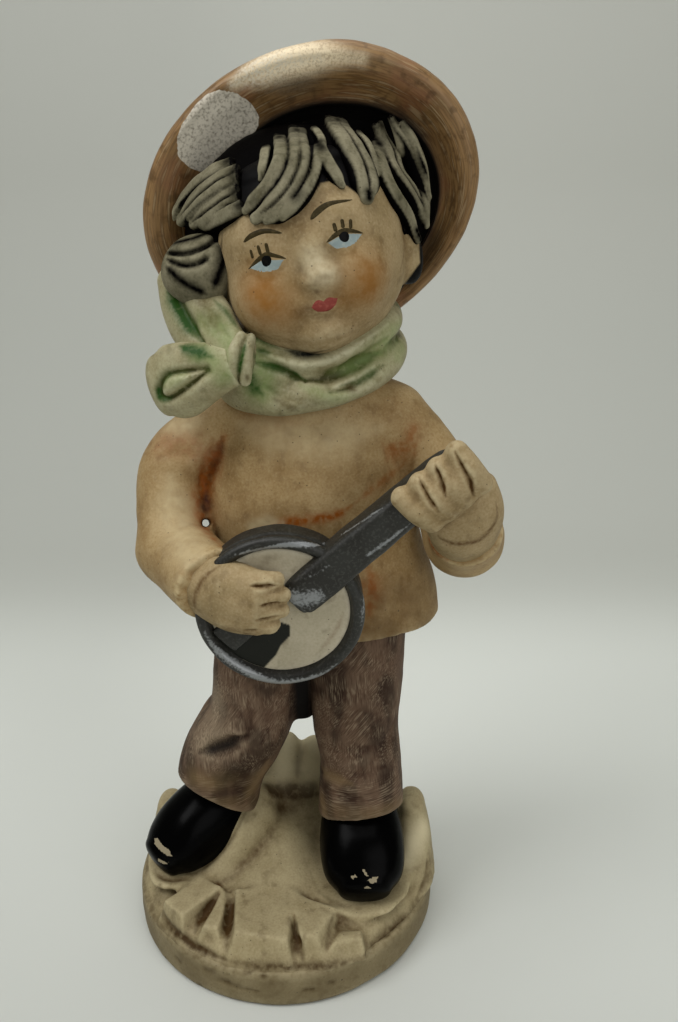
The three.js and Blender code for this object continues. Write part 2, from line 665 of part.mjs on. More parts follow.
function tail(grow = 0) {
  const rise = TAIL_LENGTH * 0.62;
  return loft([
    ring(KNOT.x - 1.5, KNOT.y + 1.4, KNOT.z + 2.2, TAIL_WIDTH * 0.6, 5.4),
    ring(KNOT.x - 7, KNOT.y + 5, KNOT.z + 2 + rise * 0.4, TAIL_WIDTH, 6),
    ring(KNOT.x - 12, KNOT.y + 10.5, KNOT.z + 2 + rise, TAIL_WIDTH * 0.7, 5),
  ], { across: new THREE.Vector3(0.6, 0, 0.8), sides: 14, steps: 6, domes: [0, 2] }, grow);
}

// The head and its hair tilt towards the boy's right, and the hat tilts a little more
const HEAD_CENTRE = new THREE.Vector3(HEAD_X, HEAD_Y, HEAD_Z);
const HEAD_FRAME = new THREE.Matrix4().makeRotationY(-radians(HEAD_ROLL)).setPosition(HEAD_CENTRE);
const HAT_FRAME = new THREE.Matrix4()
  .makeRotationY(-radians(HAT_ROLL))
  .multiply(new THREE.Matrix4().makeRotationX(radians(HAT_LEAN)))
  .setPosition(new THREE.Vector3(HAT_X, HAT_Y, HAT_Z));

function headPoint(x, y, z) {
  return new THREE.Vector3(x, y, z).applyMatrix4(HEAD_FRAME);
}

// Head with its neck: round cheeks, a small chin and a button nose
function head(grow = 0) {
  const level = (share, width, depth, y) => (
    ring(0, y, share * HEAD_HEIGHT, width * HEAD_WIDTH, depth * HEAD_DEPTH)
  );
  const skull = loft([
    level(-0.43, 0.42, 0.46, -3.4),
    level(-0.32, 0.78, 0.78, -1.8),
    level(-0.16, 0.98, 0.95, -0.6),
    level(0.02, 1, 1, 0),
    level(0.2, 0.95, 0.97, 0.3),
    level(0.38, 0.7, 0.74, 0.6),
  ], { level: true, sides: 24, steps: 9, domes: [0.06 * HEAD_HEIGHT, 0.12 * HEAD_HEIGHT] }, grow);
  const face = skull.transform(HEAD_FRAME.elements);
  const throat = loft([
    ring(HEAD_X, HEAD_Y + 3, COLLAR_Z + CLEARANCE, NECK_GIRTH),
    ring(HEAD_X, HEAD_Y + 3, HEAD_Z - HEAD_HEIGHT * 0.25, NECK_GIRTH),
  ], { level: true, steps: 2 }, grow);
  const noseTip = headPoint(0.6, -HEAD_DEPTH / 2 - 0.4, -1.2);
  const nose = ball(noseTip, [NOSE_SIZE, NOSE_SIZE, NOSE_SIZE * 1.1], undefined, grow);
  return join([face, throat, nose]);
}

function ear(grow = 0) {
  const place = headPoint(HEAD_WIDTH / 2 + 0.6, 2.5, -1.5);
  return ball(place, [EAR_SIZE, EAR_SIZE, EAR_SIZE * 1.5], undefined, grow);
}

function hairCap(grow = 0) {
  const middle = headPoint(-1.2, HAIR_BACK, 3.5);
  const roll = new THREE.Matrix4().makeRotationY(-radians(HEAD_ROLL));
  return ball(middle, [HAIR_WIDTH, HAIR_DEPTH, HAIR_HEIGHT], roll, grow, 18);
}

// A lock of hair lies over the hair's oval along a list of [longitude, latitude] degrees,
// longitude from the face's middle towards the boy's left
function lock(route, width, grow) {
  const place = ([longitude, latitude]) => {
    const lon = radians(longitude);
    const lat = radians(latitude);
    return headPoint(
      HAIR_WIDTH / 2 * Math.cos(lat) * Math.sin(lon),
      -(HAIR_DEPTH / 2 + 0.8) * Math.cos(lat) * Math.cos(lon),
      (HAIR_HEIGHT / 2 + 1) * Math.sin(lat),
    );
  };
  const points = route.map(place);
  const rings = points.map((point, i) => {
    const share = i / (points.length - 1);
    const wide = width * (1 - 0.55 * share ** 2);
    return ring(point.x, point.y, point.z, LOCK_THICKNESS * (1 - 0.4 * share), wide);
  });
  const middle = points[Math.floor(points.length / 2)];
  const outward = middle.clone().sub(HEAD_CENTRE).normalize();
  return loft(rings, { across: outward, sides: SMALL_SIDES, steps: 4, domes: [1.5, 2] }, grow);
}

function fringeLeft(grow = 0) {
  return join([
    lock([[46, 66], [44, 45], [34, 20]], LOCK_WIDTH * 1.15, grow),
    lock([[62, 60], [52, 36], [50, 14]], LOCK_WIDTH, grow),
    lock([[74, 54], [64, 32], [60, 2]], LOCK_WIDTH, grow),
    lock([[84, 50], [78, 26], [74, 6]], LOCK_WIDTH, grow),
  ]);
}

function fringeMiddle(grow = 0) {
  return join([
    lock([[-16, 74], [-8, 48], [-26, 30]], LOCK_WIDTH, grow),
    lock([[6, 72], [6, 44], [-20, 24]], LOCK_WIDTH, grow),
    lock([[26, 68], [18, 42], [2, 22]], LOCK_WIDTH, grow),
    lock([[32, 66], [27, 46], [21, 30]], LOCK_WIDTH * 0.8, grow),
  ]);
}

function fringeRight(grow = 0) {
  return join([
    lock([[-34, 66], [-34, 52], [-30, 38]], LOCK_WIDTH, grow),
    lock([[-44, 62], [-56, 46], [-88, 24]], LOCK_WIDTH * 1.1, grow),
    lock([[-40, 48], [-56, 32], [-82, 12]], LOCK_WIDTH * 1.1, grow),
  ]);
}

function sideBun(grow = 0) {
  const middle = headPoint(-HAIR_WIDTH / 2 + 2.6, -5.5, 3.4);
  const roll = new THREE.Matrix4().makeRotationY(-radians(HEAD_ROLL) - 0.25);
  return ball(middle, [BUN_WIDTH * 1.08, BUN_WIDTH * 0.9, BUN_WIDTH * 0.94], roll, grow, 14);
}

// Hat: an oval cupped brim with a rolled edge, and a round crown behind the head.
// In the hat's own frame the crown points along +y, and the crown stands off the middle of
// the brim, so that the brim is wider above than below.
function brim() {
  const inner = BRIM_INNER_WIDTH / 2;
  const reach = (BRIM_WIDTH - BRIM_INNER_WIDTH - BRIM_THICKNESS) / 2;
  const half = BRIM_THICKNESS / 2;
  const dish = (share) => -BRIM_CUP * share ** 2;
  const levels = [0, 0.35, 0.7, 1];
  const profile = levels.map((share) => [share, 0, dish(share) - half]);
  [1, 2, 3].forEach((i) => {
    const turn = (Math.PI / 4) * i;
    profile.push([1, half * Math.sin(turn), dish(1) - half * Math.cos(turn)]);
  });
  levels.reverse().forEach((share) => {
    profile.push([share, 0, dish(share) + half]);
  });
  profile.push(profile[0]);
  const surface = (u, v, target) => {
    const [share, edge, height] = profile[Math.round(v * (profile.length - 1))];
    const angle = 2 * Math.PI * u;
    const radius = inner + share * reach + edge;
    target.x = radius * Math.cos(angle) + (1 - share) * CROWN_SHIFT_X;
    target.y = height;
    target.z = (radius * Math.sin(angle) + (1 - share) * CROWN_SHIFT_Z) * BRIM_HEIGHT_SHARE;
  };
  const geometry = new ParametricGeometry(surface, WHEEL_SIDES, profile.length - 1);
  return solid(geometry.applyMatrix4(HAT_FRAME));
}

function crown() {
  const plug = BRIM_INNER_WIDTH / 2 - CLEARANCE;
  const wide = BRIM_INNER_WIDTH / 2 + CROWN_LAP;
  const seat = BRIM_THICKNESS / 2 + CLEARANCE;
  const profile = [[0, -BRIM_THICKNESS / 2], [plug, -BRIM_THICKNESS / 2], [plug, seat]];
  for (let i = 0; i < 6; i += 1) {
    const turn = (Math.PI / 12) * i;
    profile.push([wide * Math.cos(turn) ** 0.8, seat + CROWN_DEPTH * Math.sin(turn)]);
  }
  profile.push([0, seat + CROWN_DEPTH]);
  const shift = new THREE.Matrix4().makeTranslation(CROWN_SHIFT_X, 0, CROWN_SHIFT_Z);
  const oval = new THREE.Matrix4().makeScale(1, 1, BRIM_HEIGHT_SHARE).multiply(shift);
  return turned(profile, HAT_FRAME.clone().multiply(oval));
}

// Painted finishes
const PAINT = {
  bisque: { color: 0xb8a988, roughness: 0.85, metalness: 0 },
  trousers: { color: 0x6d5a52, roughness: 0.8, metalness: 0 },
  shoe: { color: 0x0a0a0a, roughness: 0.15, metalness: 0 },
  tunic: { color: 0xbda27a, roughness: 0.85, metalness: 0 },
  flesh: { color: 0xc4ab86, roughness: 0.8, metalness: 0 },
  pewter: { color: 0x55585a, roughness: 0.45, metalness: 0.3 },
  drumskin: { color: 0xb6ab94, roughness: 0.7, metalness: 0 },
  scarf: { color: 0xa9b58a, roughness: 0.7, metalness: 0 },
  hair: { color: 0x6f695c, roughness: 0.8, metalness: 0 },
  hat: { color: 0x8a7257, roughness: 0.55, metalness: 0 },
};

const figurine = new THREE.Group();

// A sub-assembly is a group at its own reference point, and its meshes are set in it
function assembly(origin) {
  const group = new THREE.Group();
  group.position.copy(origin);
  figurine.add(group);
  return group;
}

function put(group, name, body, paint) {
  const { vertProperties, triVerts } = body.getMesh();
  const geometry = new THREE.BufferGeometry();
  geometry.setAttribute('position', new THREE.BufferAttribute(new Float32Array(vertProperties), 3));
  geometry.setIndex(new THREE.BufferAttribute(new Uint32Array(triVerts), 1));
  geometry.translate(-group.position.x, -group.position.y, -group.position.z);
  const mesh = new THREE.Mesh(geometry, new THREE.MeshStandardMaterial(PAINT[paint]));
  mesh.name = name;
  group.add(mesh);
}

const gap = CLEARANCE;

const ground = assembly(new THREE.Vector3(0, 0, 0));
const stoneTools = STONES.map((item) => stone(item, gap));
put(ground, 'plinth', plinth(), 'bisque');
put(ground, 'rock_mound', cut(mound(), leftShoe(gap), rightShoe(gap), crag(gap), ...stoneTools), 'bisque');
put(ground, 'back_crag', cut(crag(), leftLeg(gap), rightLeg(gap), leftShoe(gap), rightShoe(gap)), 'bisque');
STONES.forEach((item, i) => {
  const tools = [leftShoe(gap), rightShoe(gap), ...stoneTools.slice(0, i)];
  put(ground, item.name, cut(stone(item), ...tools), 'bisque');
});

const legs = assembly(new THREE.Vector3(HIP_X, 0, SOLE_Z));
put(legs, 'left_shoe', cut(leftShoe(), leftLeg(gap)), 'shoe');
put(legs, 'right_shoe', cut(rightShoe(), rightLeg(gap)), 'shoe');
put(legs, 'left_trouser_leg', cut(leftLeg(), tunic(gap)), 'trousers');
put(legs, 'right_trouser_leg', cut(rightLeg(), leftLeg(gap), tunic(gap)), 'trousers');

const body = assembly(new THREE.Vector3(BODY_X, 0, SKIRT_Z));
const folds = [scarfFold(0, gap), scarfFold(1, gap)];
put(body, 'tunic', cut(tunic(), ...folds), 'tunic');
put(body, 'right_sleeve', cut(rightSleeve(), tunic(gap), pot(gap), bowLoop(gap), ...folds), 'tunic');
put(body, 'left_sleeve', cut(leftSleeve(), tunic(gap), ...folds), 'tunic');

const banjo = assembly(POT_CENTRE);
put(banjo, 'banjo_pot', cut(pot(), tunic(gap), neck(gap)), 'pewter');
put(banjo, 'banjo_skin', cut(skin(), neck(gap)), 'drumskin');
put(banjo, 'banjo_neck', cut(neck(), tunic(gap), leftSleeve(gap)), 'pewter');
put(banjo, 'banjo_tailpiece', cut(tailpiece(), neck(gap), skin(gap)), 'pewter');

const hands = assembly(POT_CENTRE);
const banjoTools = [pot(gap), skin(gap), neck(gap), tailpiece(gap), tunic(gap)];
put(hands, 'right_hand', cut(rightHand(), rightSleeve(gap), ...banjoTools), 'flesh');
put(hands, 'left_hand', cut(leftHand(), leftSleeve(gap), ...banjoTools), 'flesh');

const scarf = assembly(KNOT);
put(scarf, 'scarf_upper_fold', cut(scarfFold(0), head(gap), scarfFold(1, gap), knot(gap)), 'scarf');
put(scarf, 'scarf_lower_fold', cut(scarfFold(1), head(gap), knot(gap)), 'scarf');
put(scarf, 'scarf_knot', cut(knot(), head(gap)), 'scarf');
put(scarf, 'scarf_bow_loop', cut(bowLoop(), head(gap), knot(gap), ...folds, tunic(gap)), 'scarf');
put(scarf, 'scarf_tail', cut(tail(), head(gap), knot(gap), bowLoop(gap), ...folds), 'scarf');

const headGroup = assembly(HEAD_CENTRE);
const face = head(gap);
put(headGroup, 'head', head(), 'flesh');
put(headGroup, 'ear', cut(ear(), face), 'flesh');
put(headGroup, 'hair_cap', cut(hairCap(), face, ear(gap), sideBun(gap), tail(gap), ...folds), 'hair');
const cap = hairCap(gap);
const bun = sideBun(gap);
const middleLocks = fringeMiddle(gap);
const leftLocks = fringeLeft(gap);
const rightLocks = fringeRight(gap);
put(headGroup, 'fringe_middle', cut(fringeMiddle(), face, cap), 'hair');
put(headGroup, 'fringe_left', cut(fringeLeft(), face, ear(gap), cap, middleLocks), 'hair');
put(headGroup, 'fringe_right', cut(fringeRight(), face, cap, bun, middleLocks), 'hair');
put(headGroup, 'side_bun', cut(sideBun(), face, tail(gap), ...folds), 'hair');

const hat = assembly(new THREE.Vector3(HAT_X, HAT_Y, HAT_Z));
const hatTools = [face, cap, bun, middleLocks, leftLocks, rightLocks, tail(gap), ear(gap), ...folds];
put(hat, 'hat_brim', cut(brim(), ...hatTools), 'hat');
put(hat, 'hat_crown', cut(crown(), ...hatTools, tunic(gap)), 'hat');

const box = new THREE.Box3().setFromObject(figurine);
figurine.position.set(-(box.min.x + box.max.x) / 2, -(box.min.y + box.max.y) / 2, -box.min.z);

export default figurine;
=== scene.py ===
"""Visual model of a hand-painted ceramic figurine: a boy playing a banjo on a rocky plinth.

The shapes are laid out in millimetres from the middle of the plinth's underside, with the boy
facing -Y and his own left at +X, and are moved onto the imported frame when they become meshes.
Left and right are the boy's own. The figurine is one rigid casting, so every piece rides on
the frame's only body.
"""
import logging
import math
from collections.abc import Sequence
from dataclasses import dataclass, field
from enum import Enum

import bpy
import numpy as np
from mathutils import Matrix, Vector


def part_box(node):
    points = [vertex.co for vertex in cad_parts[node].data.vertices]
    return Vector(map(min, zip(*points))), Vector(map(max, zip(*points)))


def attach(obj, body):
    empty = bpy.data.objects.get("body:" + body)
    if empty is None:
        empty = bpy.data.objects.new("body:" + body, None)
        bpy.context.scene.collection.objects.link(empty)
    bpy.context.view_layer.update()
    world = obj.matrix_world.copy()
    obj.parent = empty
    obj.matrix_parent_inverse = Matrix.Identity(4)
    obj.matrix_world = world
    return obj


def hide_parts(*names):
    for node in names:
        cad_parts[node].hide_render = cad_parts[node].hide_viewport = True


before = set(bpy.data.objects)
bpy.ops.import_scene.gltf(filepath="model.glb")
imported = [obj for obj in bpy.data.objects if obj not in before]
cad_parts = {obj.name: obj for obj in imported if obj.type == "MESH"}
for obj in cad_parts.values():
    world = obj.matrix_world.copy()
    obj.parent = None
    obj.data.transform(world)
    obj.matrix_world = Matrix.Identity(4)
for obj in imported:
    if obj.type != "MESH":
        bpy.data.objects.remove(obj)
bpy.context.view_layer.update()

import openvdb
from mathutils import Euler

Array = np.ndarray
Point = tuple[float, float, float]
Pixel = tuple[float, float]
Route = Sequence[Pixel]
Cut = tuple[Route, float, float]
Mark = tuple[str, Route, float, float]
Socket = bpy.types.NodeSocket
Inputs = dict[str | int, object]

log = logging.getLogger("figurine")

MM = 0.001
PLINTH_MIDDLE = (-1.8, 1.4)
UP = np.array([0.0, 0.0, 1.0])
ACROSS = np.array([1.0, 0.0, 0.0])
BACK = np.array([0.0, 1.0, 0.0])

# Heights above the table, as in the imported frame
PLINTH_TOP = 9.0
SOLE_Z = 13.0
SKIRT_Z = 82.0
COLLAR_Z = 139.0
HEAD_MIDDLE = np.array([5.8, -3.0, 160.5])
HEAD_ROLL = 14.0
POT_MIDDLE = np.array([0.0, -24.0, 93.6])
KNOT = np.array([-8.0, -19.2, 141.8])
EAR = np.array([25.4, -1.0, 161.6])


class Side(Enum):
    """The boy's own sides."""

    RIGHT = -1
    LEFT = 1


def unit(vectors: Array) -> Array:
    """Vectors divided by their lengths."""
    return vectors / np.maximum(np.linalg.norm(vectors, axis=-1, keepdims=True), 1e-9)


def spline(rows: Sequence[Sequence[float]] | Array, count: int) -> Array:
    """A smooth curve through rows of numbers.

    Each span is the Catmull-Rom cubic of its two ends and their neighbours, with the end rows
    mirrored outwards.

    Args:
        rows: The rows that the curve runs through.
        count: How many rows come back, evenly spaced in the rows' own order.

    Returns:
        The rows along the curve.
    """
    knots = np.asarray(rows, float)
    padded = np.vstack([2 * knots[0] - knots[1], knots, 2 * knots[-1] - knots[-2]])
    place = np.linspace(0, len(knots) - 1, count)
    span = np.minimum(place.astype(int), len(knots) - 2)
    t = (place - span)[:, None]
    a, b, c, d = (padded[span + i] for i in range(4))
    return 0.5 * (2 * b + (c - a) * t + (2 * a - 5 * b + 4 * c - d) * t**2 + (3 * b - a - 3 * c + d) * t**3)


def turn(axis: Array, degrees: float) -> Array:
    """The 3 x 3 matrix that turns a column about a unit axis, by the Rodrigues formula."""
    x, y, z = axis
    cross = np.array([[0, -z, y], [z, 0, -x], [-y, x, 0]])
    angle = math.radians(degrees)
    return np.eye(3) + math.sin(angle) * cross + (1 - math.cos(angle)) * cross @ cross


def ease(values: Array) -> Array:
    """Values held between 0 and 1, with the soft start and stop of 3t2 - 2t3."""
    t = np.clip(values, 0, 1)
    return t * t * (3 - 2 * t)


def circle(count: int) -> Array:
    """Angles evenly spaced round a full turn."""
    return np.linspace(0, 2 * math.pi, count, endpoint=False)


def walked(profile: Sequence[Pixel] | Array, pitch: float) -> tuple[Array, Array, Array, Array]:
    """A profile taken at even steps along its length, to be carried round an axis.

    Args:
        profile: Its corners as radius and height.
        pitch: The length of a step.

    Returns:
        The radii and the heights as columns, the length up to each, and up to each corner.
    """
    corners = np.asarray(profile, float)
    steps = np.concatenate([[0], np.cumsum(np.linalg.norm(np.diff(corners, axis=0), axis=1))])
    along = np.linspace(0, steps[-1], max(int(steps[-1] / pitch), 12))
    radius, height = (np.interp(along, steps, corners[:, i])[:, None] for i in range(2))
    return radius, height, along, steps


def lumps(points: Array, size: float, seed: int) -> Array:
    """Soft random values from -1 to 1, for the unevenness of hand work.

    A lattice of seeded random numbers, blended between its points with an eased weight on each
    axis.

    Args:
        points: Places in millimetres.
        size: The lattice's spacing in millimetres.
        seed: The seed of the random numbers.

    Returns:
        One value for each place.
    """
    table = np.random.default_rng(seed).uniform(-1, 1, (32, 32, 32))
    cell = points / size
    low = np.floor(cell).astype(int)
    share = ease(cell - low)
    total = np.zeros(len(points))
    for corner in np.ndindex(2, 2, 2):
        weight = np.prod(np.where(np.array(corner) == 1, share, 1 - share), axis=1)
        x, y, z = ((low + corner) % 32).T
        total += weight * table[x, y, z]
    return total


def near(points: Array, path: Array) -> tuple[Array, Array]:
    """Distance from each point to a path, and how far along the path that is, from 0 to 1."""
    gaps = (points**2).sum(1)[:, None] + (path**2).sum(1)[None] - 2 * points @ path.T
    best = gaps.argmin(1)
    distance = np.sqrt(np.maximum(gaps[np.arange(len(points)), best], 0))
    return distance, best / max(len(path) - 1, 1)


@dataclass
class Skin:
    """A surface: points, its four-sided and three-sided faces, and painted values by name."""

    points: Array
    quads: Array
    tris: Array = field(default_factory=lambda: np.zeros((0, 3), int))
    paint: dict[str, Array] = field(default_factory=dict)
    calm: Array | None = None

    def edges(self) -> Array:
        """Every edge once, as pairs of point numbers: a closed surface has each one both ways."""
        pairs = [self.quads[:, [i, (i + 1) % 4]] for i in range(4)]
        pairs += [self.tris[:, [i, (i + 1) % 3]] for i in range(3)]
        pairs = np.vstack(pairs)
        return pairs[pairs[:, 0] < pairs[:, 1]]

    def facing(self) -> Array:
        """The normals as they were when first asked for, which small grooves hardly change."""
        if self.calm is None:
            self.calm = self.normals()
        return self.calm

    def normals(self) -> Array:
        """Outward directions at the points: the sum of the crossed diagonals or sides around each."""
        total = np.zeros_like(self.points)
        corners = self.points[self.quads]
        flat = np.cross(corners[:, 2] - corners[:, 0], corners[:, 3] - corners[:, 1])
        for i in range(4):
            total += self._sum(self.quads[:, i], flat)
        corners = self.points[self.tris]
        flat = np.cross(corners[:, 1] - corners[:, 0], corners[:, 2] - corners[:, 0])
        for i in range(3):
            total += self._sum(self.tris[:, i], flat)
        return unit(total)

    def _sum(self, where: Array, values: Array) -> Array:
        """Values added up at the points they belong to."""
        count = len(self.points)
        return np.stack([np.bincount(where, values[:, i], count) for i in range(values.shape[1])], 1)

    def averaged(self, values: Array, times: int, share: float = 0.6) -> Array:
        """Values blended with the mean of their neighbours, several times over."""
        edges = self.edges()
        a, b = edges.T.copy()
        count = len(self.points)
        number = np.maximum(np.bincount(a, minlength=count) + np.bincount(b, minlength=count), 1)
        now = values.reshape(count, -1).astype(float)
        for _ in range(times):
            mean = (self._sum(a, now[b]) + self._sum(b, now[a])) / number[:, None]
            now = now + share * (mean - now)
        return now.reshape(values.shape)

    def relax(self, times: int) -> "Skin":
        """The surface with its small steps smoothed away."""
        self.points = self.averaged(self.points, times)
        self.calm = None
        return self

    def rough(self, amount: float, size: float, seed: int) -> "Skin":
        """The surface pushed in and out along its normals by soft random lumps."""
        self.points = self.points + self.facing() * (amount * lumps(self.points, size, seed))[:, None]
        return self

    def carve(self, path: Array, width: float, depth: float, fade: float = 0.35) -> "Skin":
        """A groove pressed along a path, or a ridge where the depth is below 0.

        A point moves inwards by depth times exp(-(distance / width)2), less near the ends.

        Args:
            path: Places along the groove.
            width: The groove's half width.
            depth: How deep it is.
            fade: The share of the length over which each end dies away.

        Returns:
            The same surface.
        """
        chosen, far, taper = self._beside(path, width, fade)
        push = depth * taper * np.exp(-(far**2))
        self.points[chosen] -= self.facing()[chosen] * push[:, None]
        return self

    def mark(self, name: str, path: Array, width: float, strength: float, fade: float = 0.3) -> "Skin":
        """Colour brushed along a path, kept as a painted value from 0 to 1.

        Args:
            name: The painted value's name.
            path: Places along the brush stroke, or one place.
            width: The stroke's half width.
            strength: The value on the stroke's middle line.
            fade: The share of the length over which each end dies away.

        Returns:
            The same surface.
        """
        chosen, far, taper = self._beside(path, width, fade)
        value = strength * np.sqrt(taper) * np.exp(-(far**2))
        now = self.paint.setdefault(name, np.zeros(len(self.points)))
        now[chosen] = np.maximum(now[chosen], value)
        return self

    def _beside(self, path: Array, width: float, fade: float) -> tuple[Array, Array, Array]:
        """The points near a path, their distances as shares of its width, and how full it is there.

        The width narrows to a third towards the ends of a path that is longer than it is wide.
        """
        long = np.linalg.norm(np.diff(path, axis=0), axis=1).sum() > 3 * width
        path = spline(path, 80) if long and len(path) < 80 else path
        low, high = path.min(0) - 2.6 * width, path.max(0) + 2.6 * width
        chosen = np.flatnonzero(np.all((self.points > low) & (self.points < high), axis=1))
        if len(chosen) == 0:
            return chosen, np.zeros(0), np.zeros(0)
        distance, along = near(self.points[chosen], path)
        taper = np.ones(len(along))
        if long and fade > 0:
            taper = 0.34 + 0.66 * ease(np.minimum(along, 1 - along) / fade)
        far = distance / (width * taper)
        near_it = far < 2.6
        return chosen[near_it], far[near_it], taper[near_it]

    def relief(self, fine: float = 0.10, broad: float = 0.35) -> "Skin":
        """Hollows and ridges as painted values, at two scales.

        The surface is smoothed, and what a point sinks below or stands above its smoothed
        place, divided by a depth in millimetres, is its hollow or ridge.

        Args:
            fine: The depth that counts as a full hollow beside a few rounds of smoothing.
            broad: The same beside many rounds.

        Returns:
            The same surface.
        """
        normals = self.normals()
        first = self.averaged(self.points, 4)
        second = self.averaged(first, 22)
        small = ((self.points - first) * normals).sum(1) / fine
        large = ((self.points - second) * normals).sum(1) / broad
        depth = self.averaged(0.5 * small + 0.7 * large, 1)
        self.paint["hollow"] = np.clip(-depth, 0, 1.5)
        self.paint["ridge"] = np.clip(depth, 0, 1.5)
        return self

    def project(self, places: Array, lift: float | Array) -> Array:
        """Places dropped onto the surface and lifted off it.

        The nearest point's tangent plane takes each place.

        Args:
            places: The places to drop.
            lift: How far above the surface each one comes to rest.

        Returns:
            The new places.
        """
        normals = self.facing()
        low, high = places.min(0) - 4, places.max(0) + 4
        chosen = np.flatnonzero(np.all((self.points > low) & (self.points < high), axis=1))
        cloud = self.points[chosen]
        gaps = (places**2).sum(1)[:, None] + (cloud**2).sum(1)[None] - 2 * places @ cloud.T
        order = np.argpartition(gaps, 3, axis=1)[:, :4]
        weight = 1 / (np.take_along_axis(gaps, order, 1) + 0.02)
        weight = (weight / weight.sum(1, keepdims=True))[..., None]
        foot = (cloud[order] * weight).sum(1)
        facing = unit((normals[chosen][order] * weight).sum(1))
        off = ((places - foot) * facing).sum(1)
        return places + facing * (lift - off)[:, None]

    def joined(self, other: "Skin") -> "Skin":
        """This surface and another as one mesh."""
        shift = len(self.points)
        both = {
            name: np.concatenate([s.paint.get(name, np.zeros(len(s.points))) for s in (self, other)])
            for name in sorted(set(self.paint) | set(other.paint))
        }
        return Skin(
            np.vstack([self.points, other.points]),
            np.vstack([self.quads, other.quads + shift]),
            np.vstack([self.tris, other.tris + shift]),
            both,
        )


def sheet(rows: Array, wrap: bool = False) -> Skin:
    """A closed surface from a grid of places.

    Each row of the grid is a ring that closes on itself. Where `wrap` is set the last row
    joins the first, and otherwise the first and the last row are single points, the poles.

    Args:
        rows: The grid, ring by ring.
        wrap: Whether the rings themselves close.

    Returns:
        The surface.
    """
    count, sides = rows.shape[:2]
    if wrap:
        ids = np.arange(count * sides).reshape(count, sides)
        above = np.roll(ids, -1, axis=0)
        quads = np.stack([ids, np.roll(ids, -1, 1), np.roll(above, -1, 1), above], -1).reshape(-1, 4)
        return outward(Skin(rows.reshape(-1, 3), quads))
    body = rows[1:-1]
    ids = np.arange(body.shape[0] * sides).reshape(-1, sides)
    low, high = ids[:-1], ids[1:]
    quads = np.stack([low, np.roll(low, -1, 1), np.roll(high, -1, 1), high], -1).reshape(-1, 4)
    first, last = ids.size, ids.size + 1
    start = np.stack([np.roll(ids[0], -1), ids[0], np.full(sides, first)], -1)
    end = np.stack([ids[-1], np.roll(ids[-1], -1), np.full(sides, last)], -1)
    points = np.vstack([body.reshape(-1, 3), rows[0].mean(0), rows[-1].mean(0)])
    return outward(Skin(points, quads, np.vstack([start, end])))


def outward(skin: Skin) -> Skin:
    """The surface with its faces turned outwards, by the sign of the volume they enclose."""
    a, b, c, d = (skin.points[skin.quads[:, i]] for i in range(4))
    volume = (np.cross(b, c) * a).sum() + (np.cross(c, d) * a).sum()
    if len(skin.tris):
        a, b, c = (skin.points[skin.tris[:, i]] for i in range(3))
        volume += (np.cross(b, c) * a).sum()
    if volume < 0:
        skin.quads = skin.quads[:, ::-1]
        skin.tris = skin.tris[:, ::-1]
    return skin


